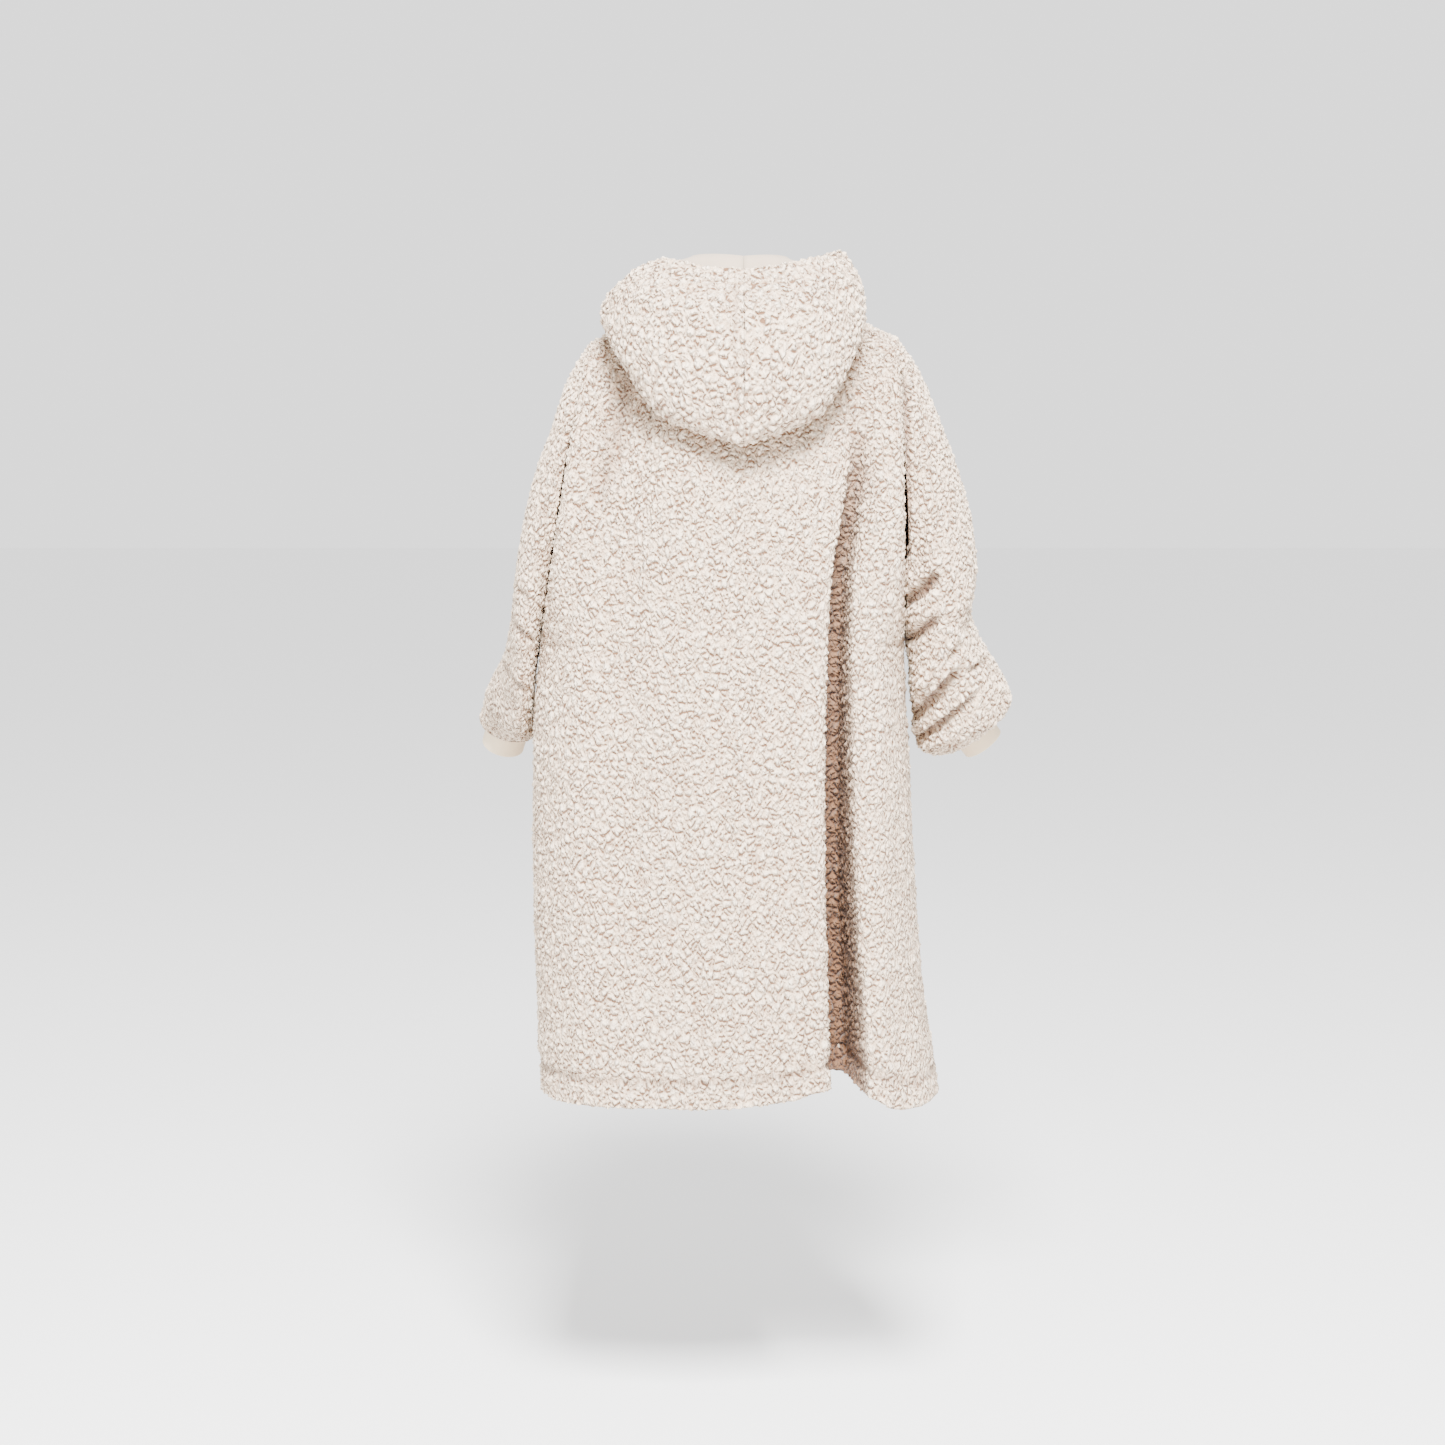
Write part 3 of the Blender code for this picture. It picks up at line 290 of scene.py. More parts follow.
# How painted shade deepens the colour in hollows, and the narrow lines where the pile parts
# in the creases, which lower the pile and also deepen its painted shade
HOLLOW_REACH = 0.045  # how far aside a point looks for higher cloth
HOLLOW_DEPTH = 0.024  # a hollow this deep has 1 - 1/e of the full shade
LINE_DEPTH = 0.0060  # and a parting of the pile this deep
LINE_SHARE = 0.7  # how much of a sleeve's wall such a parting may take
PILE_SHARE = 0.28  # how much of a panel's or the hood's wall is pile that may be lowered
BANK_WIDTH = 2.6  # the pile swells beside a parting, this much wider than it
BANK_HEIGHT = 0.75  # and by this share of its depth
# The line of stitching above the hem lowers the pile and also deepens its painted shade
HEM_LINE_WIDTH = 0.0035
HEM_LINE_DEPTH = 0.0035
RIGHT_SLEEVE_LINES = (
    (-0.242, -0.364, -0.212, -0.396, 0.0070, -0.009),
    (-0.240, -0.418, -0.207, -0.446, 0.0075, -0.010),
    (-0.270, -0.482, -0.218, -0.548, 0.0065, -0.009),
    (-0.298, -0.512, -0.226, -0.572, 0.0050, -0.007),
    (-0.276, -0.448, -0.240, -0.500, 0.0045, -0.005),
    (-0.320, -0.462, -0.300, -0.474, 0.0040, -0.005),
    (-0.214, -0.120, -0.212, -0.330, 0.0060, -0.006),
)
HOOD_LINES = (
    (0.000, -0.010, 0.000, -0.176, 0.0040, -0.0028),
    (-0.018, -0.128, -0.021, -0.170, 0.0032, -0.0024),
    (-0.035, -0.120, -0.042, -0.164, 0.0032, -0.0024),
    (-0.054, -0.112, -0.064, -0.150, 0.0030, -0.0020),
    (0.017, -0.132, 0.019, -0.172, 0.0032, -0.0022),
)
HOOD_BACK = 0.16  # how far back the hood's cloth has to be for a full line
LEFT_SLEEVE_LINES = (
    (0.262, -0.380, 0.300, -0.352, 0.0045, -0.004),
    (0.258, -0.432, 0.292, -0.408, 0.0045, -0.005),
    (0.266, -0.500, 0.300, -0.474, 0.0045, -0.004),
)

# The flat width and length of each cut piece, and its area
BACK_CUT = (0.80, 1.03, 0.74)
FRONT_CUT = (0.68, 1.00, 0.63)


def columns(names, rows):
    """A table as one array for each of its named columns."""
    return {name: np.array(values) for name, values in zip(names, zip(*rows))}


def smooth(knots, values, at):
    """A smooth curve through the values at the knots, read at the places given."""
    at = np.clip(np.asarray(at, float), knots[0], knots[-1])
    slopes = np.gradient(values, knots)
    low = np.clip(np.searchsorted(knots, at) - 1, 0, len(knots) - 2)
    span = knots[low + 1] - knots[low]
    t = (at - knots[low]) / span
    rest = 1 - t
    ends = values[low] * (1 + 2 * t) * rest**2 + values[low + 1] * (1 + 2 * rest) * t**2
    return ends + span * t * rest * (slopes[low] * rest - slopes[low + 1] * t)


BODY = columns(BODY_COLUMNS, BODY_ROWS)
HEM = columns(HEM_COLUMNS, HEM_ROWS)
FOLD = columns(FOLD_COLUMNS, FOLD_ROWS)


def body(name, z):
    return smooth(BODY["z"], BODY[name], z)


def fold(name, z):
    return smooth(FOLD["z"], FOLD[name], z)


def across(theta, square):
    """How far across a section an angle lies, from 1 at the left side to -1 at the right."""
    cosine = np.cos(theta)
    return np.sign(cosine) * np.abs(cosine) ** (2 / square)


def section(z, theta, side):
    """Half of a level section, from the left side (0) round the back or front to the right."""
    left, right, square = body("left", z), body("right", z), body("square", z)
    reach = body("back" if side > 0 else "front", z)
    x = (left + right) / 2 + (left - right) / 2 * across(theta, square)
    y = side * reach * np.abs(np.sin(theta)) ** (2 / square)
    return np.stack([x, y, np.full_like(x, z)], axis=-1)


def top_line(theta, side):
    """The shoulder seams and, between them, the neckline of the back or the front."""
    u = across(theta, body("square", UNDERARM_Z))
    middle, half = (TIP_LEFT[0] + TIP_RIGHT[0]) / 2, (TIP_LEFT[0] - TIP_RIGHT[0]) / 2
    x = middle + half * u
    neck_middle = (NECK_LEFT[0] + NECK_RIGHT[0]) / 2
    neck_half = (NECK_LEFT[0] - NECK_RIGHT[0]) / 2
    round_part = np.sqrt(np.clip(1 - ((x - neck_middle) / neck_half) ** 2, 0, 1))
    depth, height = NECK_BACK if side > 0 else NECK_FRONT
    places = (TIP_RIGHT, NECK_RIGHT, NECK_LEFT, TIP_LEFT)
    line = np.interp(x, [place[0] for place in places], [place[1] for place in places])
    z = line + (height - line) * round_part**NECK_ROUND
    return np.stack([x, side * depth * round_part, z], axis=-1)


def neck_angle(x):
    """The angle at which the top line passes an x."""
    middle, half = (TIP_LEFT[0] + TIP_RIGHT[0]) / 2, (TIP_LEFT[0] - TIP_RIGHT[0]) / 2
    u = (x - middle) / half
    return math.acos(math.copysign(abs(u) ** (body("square", UNDERARM_Z) / 2), u))


def body_line(station, theta, side):
    """The outer face's points at a station: 0 is the hem, 1 the underarm, 2 the top line."""
    low = section(HEM_Z + (UNDERARM_Z - HEM_Z) * min(station, 1), theta, side)
    if station <= 1:
        return low
    top = top_line(theta, side)
    psi = (station - 1) * math.pi / 2
    rise, fall = math.sin(psi) ** SHOULDER_ROUND, max(math.cos(psi), 0) ** SHOULDER_ROUND
    u = np.abs(across(theta, body("square", UNDERARM_Z)))
    opening = u**ARMHOLE_REACH * max(math.sin(2 * psi), 0) ** ARMHOLE_ROUND
    x = low[:, 0] + (top[:, 0] - low[:, 0]) * rise
    y = top[:, 1] + (low[:, 1] - top[:, 1]) * fall + side * ARMHOLE_DEPTH * opening
    z = low[:, 2] + (top[:, 2] - low[:, 2]) * rise
    return np.stack([x, y, z], axis=-1)


def lengths(points):
    """How far along a line each of its points is."""
    return np.concatenate([[0], np.cumsum(np.linalg.norm(np.diff(points, axis=0), axis=1))])


def read_line(points, along, places):
    return np.stack([np.interp(places, along, points[:, i]) for i in range(3)], axis=-1)


def fold_path(depth, lip, valley):
    """The fold in section: how far across and how far in, over a rounded lip, down one side,
    round the valley and out again."""
    steep = min(FOLD_STEEP, math.acos(max(1 - depth / (lip + valley), -1)))
    flat = 0.0
    if steep >= FOLD_STEEP:
        flat = (depth - (lip + valley) * (1 - math.cos(steep))) / math.sin(steep)
    stops = np.cumsum([0, lip * steep, flat, 2 * valley * steep, flat, lip * steep])
    turns = np.array([0, steep, steep, -steep, -steep, 0])
    run = np.linspace(0, stops[-1], FINE)
    turn = np.interp(run, stops + np.arange(6) * 1e-9, turns)
    step = np.diff(run) * 0.5
    middle = (turn[1:] + turn[:-1]) / 2
    sideways = np.concatenate([[0], np.cumsum(np.cos(middle) * step * 2)])
    inwards = np.concatenate([[0], np.cumsum(np.sin(middle) * step * 2)])
    return sideways - sideways[-1] / 2, inwards


def back_row(station, steps):
    """A row of the back panel's outer face, from its left edge to its right one, with the
    deep fold let in. Each stretch between two marks is divided evenly."""
    theta = np.linspace(0, math.pi, 2 * FINE)
    line = body_line(station, theta, 1)
    along = lengths(line)
    off = line[:, 0] - fold("x", line[:, 2])
    at = np.nonzero((off[:-1] > 0) & (off[1:] <= 0))[0][0]
    centre = np.interp(0, [-off[at], -off[at + 1]], [along[at], along[at + 1]])
    z = line[at, 2]
    depth = max(float(fold("depth", z)), 0.0)
    sideways, inwards = fold_path(depth, float(fold("lip", z)), float(fold("valley", z)))
    half = max(FOLD_LEAST, sideways[-1] + FOLD_MARGIN)
    half = min(half, (along[-1] - centre) * FOLD_MOST)
    inward = np.array([math.sin(FOLD_LEAN), -math.cos(FOLD_LEAN), 0])
    before = read_line(line, along, np.linspace(centre - half, centre + sideways[0], FEW))
    after = read_line(line, along, np.linspace(centre + sideways[-1], centre + half, FEW))
    inside = read_line(line, along, centre + sideways) + inwards[:, None] * inward
    folded = np.concatenate([before[:-1], inside, after[1:]])
    climb = min(max(station - 1, 0), 1)
    left_mark = neck_angle(NECK_LEFT[0])
    low_mark = math.acos(FOLD_LOW_MARK)
    right_mark = low_mark + (neck_angle(NECK_RIGHT[0]) - low_mark) * climb
    marks = [0, *np.interp([left_mark, math.pi / 2, right_mark], theta, along)]
    marks += [centre - half, centre + half, along[-1]]
    pieces = []
    for i, count in enumerate(steps):
        if i == 4:
            inside_along = lengths(folded)
            places = np.linspace(0, inside_along[-1], count + 1)
            pieces.append(read_line(folded, inside_along, places)[:-1])
        else:
            places = np.linspace(marks[i], marks[i + 1], count + 1)
            pieces.append(read_line(line, along, places)[:-1])
    pieces.append(line[-1:])
    return np.concatenate(pieces)


def front_row(station, steps):
    """A row of the front panel's outer face, from its left edge to its right one."""
    theta = np.linspace(0, math.pi, 2 * FINE)
    line = body_line(station, theta, -1)
    along = lengths(line)
    ends = [neck_angle(NECK_LEFT[0]), math.pi / 2, neck_angle(NECK_RIGHT[0])]
    marks = [0, *np.interp(ends, theta, along), along[-1]]
    places = [np.linspace(marks[i], marks[i + 1], n + 1)[:-1] for i, n in enumerate(steps)]
    return read_line(line, along, np.concatenate([*places, [along[-1]]]))


def normals_of(grid, outward):
    """Unit normals of a grid of points, turned to the side that the outward points lie on."""
    by_row = np.gradient(grid, axis=0)
    by_column = np.gradient(grid, axis=1)
    normal = np.cross(by_column, by_row)
    normal /= np.maximum(np.linalg.norm(normal, axis=-1, keepdims=True), 1e-12)
    return normal * outward


def crease_heights(points, facing, creases):
    """How far the creases lift each point, on the parts that face the crease's side."""
    lift = np.zeros(points.shape[:-1])
    for row in creases:
        crease = dict(zip(CREASE_COLUMNS, row))
        run = np.array([crease["x1"] - crease["x0"], crease["z1"] - crease["z0"]])
        length = np.linalg.norm(run)
        run /= length
        dx, dz = points[..., 0] - crease["x0"], points[..., 2] - crease["z0"]
        along = dx * run[0] + dz * run[1]
        aside = dx * -run[1] + dz * run[0]
        past = np.maximum(np.maximum(-along, along - length), 0)
        width = crease["width"]
        fall = aside**2 / width**2 + past**2 / (CREASE_TAPER * width) ** 2
        lift += crease["height"] * np.exp(-fall)
    return lift * np.clip(facing * CREASE_FACING, 0, 1)


def hem_heights(z):
    """The line of stitching above the hem."""
    return -HEM_GROOVE * np.exp(-(((z - HEM_Z - HEM_FOLD) / HEM_GROOVE_WIDTH) ** 2))


def stations():
    """The rows of the panels, even from the hem to the underarm and then over the shoulder."""
    lower = np.linspace(0, 1, LOWER_ROWS + 1)
    return [*lower, *(1 + np.linspace(0, 1, DOME_ROWS + 1)[1:])]


def armhole(hand):
    """The armhole's loop, from the underarm up the back to the shoulder, then down the front."""
    theta = np.array([0.0 if hand > 0 else math.pi])
    up = 1 + np.linspace(0, 1, DOME_ROWS + 1)
    back = [body_line(station, theta, 1)[0] for station in up]
    front = [body_line(station, theta, -1)[0] for station in up[-2:0:-1]]
    return np.array(back + front)


def loop_rims(loop):
    """Unit directions from an armhole's edge into its hole, level with the loop."""
    run = np.roll(loop, -1, axis=0) - np.roll(loop, 1, axis=0)
    rims = np.stack([np.zeros(len(loop)), -run[:, 2], run[:, 1]], axis=-1)
    rims[0], rims[DOME_ROWS] = (0, 0, 1), (0, 0, -1)
    rims /= np.linalg.norm(rims, axis=-1, keepdims=True)
    middle = loop.mean(axis=0)
    turned = ((middle - loop) * rims).sum(axis=-1, keepdims=True) < 0
    return np.where(turned, -rims, rims)


def neck_rim(facing):
    """The direction of the neckline's seam allowance, down and in."""
    rim = np.array([-math.cos(facing), -math.sin(facing), -SEAM_SINK])
    return rim / np.linalg.norm(rim)


def neck_facings(points):
    """Which way out each point of the neckline faces, seen from above."""
    depth = np.where(points[:, 1] > 0, NECK_BACK[0], NECK_FRONT[0])
    return np.arctan2(points[:, 1] / depth, points[:, 0] / NECK_LEFT[0])


def panel(side):
    """The outer and inner faces of the back or front panel."""
    steps = BACK_STEPS if side > 0 else FRONT_STEPS
    make_row = back_row if side > 0 else front_row
    levels = stations()
    outer = np.array([make_row(station, steps) for station in levels])
    normal = normals_of(outer, side)
    creases = BACK_CREASES if side > 0 else FRONT_CREASES
    lift = crease_heights(outer, side * normal[..., 1], creases) + hem_heights(outer[..., 2])
    edge = np.minimum(np.arange(outer.shape[1]), np.arange(outer.shape[1])[::-1])
    top = np.clip((2 - np.array(levels)) * TOP_SHARE, 0, 1)[:, None]
    outer = outer + normal * (lift * np.clip(edge / EDGE_COLUMNS, 0, 1) * top)[..., None]
    rise = smooth(HEM["x"], HEM["back" if side > 0 else "front"], outer[..., 0])
    outer[..., 2] += rise * (np.clip(1 - np.array(levels), 0, 1) ** HEM_REACH)[:, None]
    normal = normals_of(outer, side)
    rim = -normal
    body_rows = len(levels) - DOME_ROWS
    for column in (0, -1):
        rim[:body_rows, column, 1] = 0
    rim[-1, :, 1] = 0
    rim /= np.linalg.norm(rim, axis=-1, keepdims=True)
    for hand, column in ((1, 0), (-1, -1)):
        rims = loop_rims(armhole(hand))
        order = np.arange(DOME_ROWS + 1)
        if side < 0:
            order = -order % len(rims)
        rim[body_rows - 1:, column] = rims[order]
    first = steps[0]
    last = outer.shape[1] - 1 - (sum(steps[3:]))
    neck = outer[-1, first:last + 1]
    for i, facing in enumerate(neck_facings(neck)):
        rim[-1, first + i] = neck_rim(facing)
    inner = outer + PILE_WALL * rim
    gap = side * SEAM_GAP / 2
    for column in (0, -1):
        outer[:body_rows, column, 1] += gap
        inner[:body_rows, column, 1] += gap
    outer[-1, :, 1] += gap
    inner[-1, :, 1] += gap
    return outer, inner


def sleeve_ring(table, s, psi, side):
    """Points of a sleeve's ring, at the angles psi from its inner side (0) to its outer one."""
    read = {name: smooth(table["s"], table[name], s) for name in SLEEVE_COLUMNS[1:]}
    beta = 2 * psi
    oval_long = (1 - np.cos(beta)) / 2
    oval_deep = np.abs(np.sin(beta)) ** SLEEVE_OVAL
    hole_long = np.sin(psi) ** SHOULDER_ROUND
    hole_deep = np.abs(np.sin(beta)) ** ARMHOLE_ROUND
    oval = np.clip(read["oval"], 0, 1)
    out = hole_long + (oval_long - hole_long) * oval
    deep = side * read["half"] * (hole_deep + (oval_deep - hole_deep) * oval)
    x = read["inner_x"] + (read["outer_x"] - read["inner_x"]) * out
    z = read["inner_z"] + (read["outer_z"] - read["inner_z"]) * out
    y = read["middle_y"] + deep * np.cos(read["turn"])
    return np.stack([x, y, z - deep * np.sin(read["turn"])], axis=-1)


def wrist(hand):
    """The middle of a cuff's seam, its directions out and back, and the cuff's axis."""
    place = dict(zip(WRIST_COLUMNS, LEFT_WRIST if hand > 0 else RIGHT_WRIST))
    out = np.array([hand * math.cos(place["slant"]), 0, math.sin(place["slant"])])
    back = np.array([0, math.cos(place["turn"]), -math.sin(place["turn"])])
    axis = np.cross(back, out) * hand
    axis /= np.linalg.norm(axis)
    back = np.cross(out, axis) * hand
    return np.array([place["x"], place["y"], place["z"]]), out, back, axis


def wrist_ring(hand, radius, down):
    """A true circle round the cuff's axis, in the order of the sleeve's rings."""
    middle, out, deep, axis = wrist(hand)
    psi, side = ring_angles()
    along = -np.cos(2 * psi)[:, None] * out
    aside = (side * np.sin(2 * psi))[:, None] * deep
    return middle + radius * (along + aside) + down * axis


def ring_angles():
    """The angles and sides of a sleeve's ring, in the order of the armhole's loop."""
    up = np.linspace(0, math.pi / 2, DOME_ROWS + 1)
    psi = np.concatenate([up, up[-2:0:-1]])
    side = np.concatenate([np.ones(DOME_ROWS + 1), -np.ones(DOME_ROWS - 1)])
    return psi, side


def along_rings(rings, count):
    """Rings set evenly along a smooth sleeve through the rings given."""
    steps = np.linalg.norm(np.diff(rings, axis=0), axis=-1).mean(axis=1)
    knots = np.concatenate([[0], np.cumsum(steps)])
    at = np.linspace(0, knots[-1], count + 1)
    slopes = np.gradient(rings, knots, axis=0)
    low = np.clip(np.searchsorted(knots, at) - 1, 0, len(knots) - 2)
    span = (knots[low + 1] - knots[low])[:, None, None]
    t = (at - knots[low])[:, None, None] / span
    rest = 1 - t
    ends = rings[low] * (1 + 2 * t) * rest**2 + rings[low + 1] * (1 + 2 * rest) * t**2
    bend = span * t * rest * (slopes[low] * rest - slopes[low + 1] * t)
    return ends + bend, np.interp(at, knots, np.arange(len(knots)))


def sleeve(hand):
    """The outer and inner faces of a sleeve, ring by ring, each ring closed on itself, and how
    deep each point lies in a crease, which sets the painted shade there."""
    table = columns(SLEEVE_COLUMNS, LEFT_SLEEVE_ROWS if hand > 0 else RIGHT_SLEEVE_ROWS)
    lip_rows = LEFT_LIP_ROWS if hand > 0 else RIGHT_LIP_ROWS
    lip = columns(LIP_COLUMNS, lip_rows)
    psi, side = ring_angles()
    rings = [sleeve_ring(table, s, psi, side) for s in table["s"]]
    rings += [wrist_ring(hand, radius, down) for radius, down, _ in lip_rows]
    rings[0] = armhole(hand)
    outer, places = along_rings(np.array(rings), SLEEVE_ROWS)
    walls = np.concatenate([table["wall"], lip["wall"]])
    walls = np.interp(places, np.arange(len(walls)), walls)
    normal = ring_normals(outer, hand)
    creases = LEFT_SLEEVE_CREASES if hand > 0 else RIGHT_SLEEVE_CREASES
    lift = crease_heights(outer, normal[..., 1], creases)
    lift += FRONT_SHARE * crease_heights(outer, -normal[..., 1], creases)
    fade = np.clip(places / SLEEVE_FADE, 0, 1) * np.clip(len(table["s"]) - 1 - places, 0, 1)
    creased = outer + normal * (lift * fade[:, None])[..., None]
    behind = outer if hand > 0 else creased  # the left sleeve's creases are only in its pile
    rim = -ring_normals(behind, hand)
    rim[0] = loop_rims(behind[0])
    rim[-1] = -wrist(hand)[3]
    outer, inner = creased, behind + walls[:, None, None] * rim
    outer[0, :, 0] += hand * SEAM_GAP
    inner[0, :, 0] += hand * SEAM_GAP
    return outer, inner, -lift * fade[:, None]


def ring_normals(rings, hand):
    closed = np.concatenate([rings[:, -1:], rings, rings[:, :1]], axis=1)
    return normals_of(closed, hand)[:, 1:-1]


def cuff(hand):
    """The outer and inner faces of a cuff, which carries on from its sleeve's last ring."""
    downs = CUFF_LENGTH * np.linspace(0, 1, CUFF_ROWS + 1) - CUFF_UP
    outer = np.array([wrist_ring(hand, CUFF_OUTER, down) for down in downs])
    inner = np.array([wrist_ring(hand, CUFF_OUTER - CUFF_WALL, down) for down in downs])
    return outer, inner


def hood_profile(row, start):
    """The hood's pile side at one place of the neckline, from the seam to the rim, as
    distances out and up."""
    rise, roll, inner, low = row["rise"], row["roll"], row["inner"], row["low"]
    drop, belly, belly_up = row["drop"], row["belly"], row["belly_up"]
    rim, rim_up = row["rim"], row["rim_up"]
    marks = np.array([
        (0.0, 0.0),
        (0.25 * roll, 0.70 * rise),
        (0.75 * roll, rise),
        (roll + 0.35 * (inner - roll), rise - 0.20 * (rise + drop)),
        (inner - 0.15 * (inner - roll), rise - 0.62 * (rise + drop)),
        (inner, -drop + 0.12 * (rise + drop)),
        (low, -drop),
        (low + 0.72 * (belly - low), -drop + 0.30 * (belly_up + drop)),
        (belly, belly_up),
        (rim + 0.72 * (belly - rim), belly_up + 0.58 * (rim_up - belly_up)),
        (rim, rim_up),
    ])
    knots = np.arange(len(marks), dtype=float)
    fine = np.linspace(0, knots[-1], FINE)
    path = np.stack([smooth(knots, marks[:, i], fine) for i in range(2)], axis=-1)
    facing = math.radians(row["facing"])
    points = np.empty((FINE, 3))
    points[:, 0] = start[0] + path[:, 0] * math.cos(facing) * row["hand"]
    points[:, 1] = start[1] + path[:, 0] * math.sin(facing)
    points[:, 2] = start[2] + path[:, 1]
    return points


def neckline(hand):
    """The neckline's points on one side, from the middle of the back to that of the front."""
    back = back_row(2.0, NECK_BACK_STEPS)[NECK_BACK_STEPS[0]:][:2 * HOOD_BACK_STEPS + 1]
    front = front_row(2.0, NECK_FRONT_STEPS)[NECK_FRONT_STEPS[0]:][:2 * HOOD_FRONT_STEPS + 1]
    if hand > 0:
        return np.concatenate([back[HOOD_BACK_STEPS::-1], front[1:HOOD_FRONT_STEPS + 1]])
    return np.concatenate([back[HOOD_BACK_STEPS:], front[-2:HOOD_FRONT_STEPS - 1:-1]])


def hood(hand):
    """The outer and inner faces of one half of the hood."""
    table = columns(HOOD_COLUMNS, LEFT_HOOD_ROWS if hand > 0 else RIGHT_HOOD_ROWS)
    seam = neckline(hand)
    along = lengths(seam) / lengths(seam)[-1]
    outer = []
    for start, q in zip(seam, along):
        row = {name: float(smooth(table["q"], table[name], q)) for name in HOOD_COLUMNS[1:]}
        row["hand"] = hand
        fine = hood_profile(row, start)
        run = lengths(fine)
        outer.append(read_line(fine, run, np.linspace(0, run[-1], HOOD_ROWS + 1)))
    outer = np.array(outer)
    rim = -normals_of(outer, hand)
    rim[[0, -1], :, 0] = 0
    rim /= np.linalg.norm(rim, axis=-1, keepdims=True)
    for i, facing in enumerate(neck_facings(seam)):
        rim[i, 0] = neck_rim(facing)
    inner = outer + PILE_WALL * rim
    for face in (outer, inner):
        face[0, :, 0] += hand * SEAM_GAP / 2
        face[-1, :, 0] += hand * FRONT_GAP / 2
        face[:, 0, 2] += NECK_GAP
    return outer, inner


def rolled(outer, inner):
    """The outer face with rows added before its first one, that roll round the free edge."""
    middle, half = (outer[0] + inner[0]) / 2, (outer[0] - inner[0]) / 2
    away = outer[0] - outer[2]
    away /= np.linalg.norm(away, axis=-1, keepdims=True)
    reach = np.linalg.norm(half, axis=-1, keepdims=True)
    turns = np.linspace(ROLL_REACH, 0, ROLL_ROWS + 1)[:-1]
    rows = [middle + half * math.cos(a) + away * reach * math.sin(a) for a in turns]
    return np.concatenate([np.array(rows), outer])


def panel_hollows(side, outer):
    """How deep each point of a panel lies below the cloth at its left and right, or in the
    line of stitching above the hem. Both depths set painted shade in the colour."""
    deep = np.zeros(outer.shape[:2])
    for i, row in enumerate(outer):
        x, out = row[:, 0], side * row[:, 1]
        aside = x[None] - x[:, None]
        near = np.abs(aside) < HOLLOW_REACH
        left = np.where(near & (aside >= 0), out, -1).max(axis=1)
        right = np.where(near & (aside <= 0), out, -1).max(axis=1)
        deep[i] = np.minimum(left, right) - out
    z = HEM_Z + (UNDERARM_Z - HEM_Z) * np.minimum(stations(), 1)
    stitched = HEM_LINE_DEPTH * np.exp(-(((z - HEM_Z - HEM_FOLD) / HEM_LINE_WIDTH) ** 2))
    return deep, stitched[:, None] + np.zeros(outer.shape[:2])


def partings(points, facing, lines):
    """How deep the pile is parted along the lines, with a bank along each side. The depth
    lowers the pile and also sets painted shade in its colour.
    """
    banks = [(*line[:4], line[4] * BANK_WIDTH, line[5] * BANK_HEIGHT) for line in lines]
    lift = crease_heights(points, facing, lines) * (1 + BANK_HEIGHT)
    return crease_heights(points, facing, banks) - lift


def with_roll(values):
    """Values of a piece's rows, with those of its first row for the rows that roll added."""
    return np.concatenate([np.repeat(values[:1], ROLL_ROWS, axis=0), values])


def grid_faces(rows, count, closed, first, turned):
    """The quads of a grid of points, whose first point has the index given."""
    spans = count if closed else count - 1
    row, column = np.meshgrid(np.arange(rows - 1), np.arange(spans), indexing="ij")
    after = (column + 1) % count
    a, b = row * count + column, row * count + after
    quads = np.stack([a, b, b + count, a + count], axis=-1).reshape(-1, 4) + first
    return quads[:, ::-1] if turned else quads


def rim_faces(outer_edge, inner_edge, turned):
    """The triangles between a finely and a coarsely divided edge. The points that the fine
    edge has over a whole number of steps belong to its first step."""
    faces = []
    start = 0
    for i, near in enumerate(inner_edge[:-1]):
        end = len(outer_edge) - 1 - (len(inner_edge) - 2 - i) * COARSE
        faces += [(outer_edge[j + 1], outer_edge[j], near) for j in range(start, end)]
        faces.append((inner_edge[i + 1], outer_edge[end], near))
        start = end
    return [face[::-1] for face in faces] if turned else faces


def outwards(outer, inner):
    """Whether a grid's quads face away from its inner side."""
    row, column = outer.shape[0] // 2, outer.shape[1] // 2
    aside = outer[row, column + 1] - outer[row, column]
    down = outer[row + 1, column] - outer[row, column]
    return np.dot(np.cross(aside, down), outer[row, column] - inner[row, column]) > 0


def cloth(name, outer, inner, lift, shade, closed, materials):
    """A closed wall whose outer face is raised by lift, with a coarser plain inner face."""
    facing = 1 if outwards(outer[-len(inner):], inner) else -1
    if closed:
        ringed = np.concatenate([outer[:, -1:], outer, outer[:, :1]], axis=1)
        normal = normals_of(ringed, facing)[:, 1:-1]
    else:
        normal = normals_of(outer, facing)
    raised = outer + normal * lift[..., None]
    plain = inner[::COARSE, ::COARSE]
    rows, count = outer.shape[:2]
    less, few = plain.shape[:2]
    points = np.concatenate([raised.reshape(-1, 3), plain.reshape(-1, 3)])
    first = rows * count
    turned = facing < 0
    quads = np.concatenate([
        grid_faces(rows, count, closed, 0, turned),
        grid_faces(less, few, closed, first, not turned),
    ])
    fine = np.arange(rows * count).reshape(rows, count)
    coarse = first + np.arange(less * few).reshape(less, few)
    if closed:
        fine = np.concatenate([fine, fine[:, :1]], axis=1)
        coarse = np.concatenate([coarse, coarse[:, :1]], axis=1)
    rims = rim_faces(fine[0], coarse[0], turned)
    rims += rim_faces(fine[-1], coarse[-1], not turned)
    if not closed:
        rims += rim_faces(fine[:, 0], coarse[:, 0], not turned)
        rims += rim_faces(fine[:, -1], coarse[:, -1], turned)
    return new_mesh(name, points, quads, np.array(rims), materials, outer, shade)


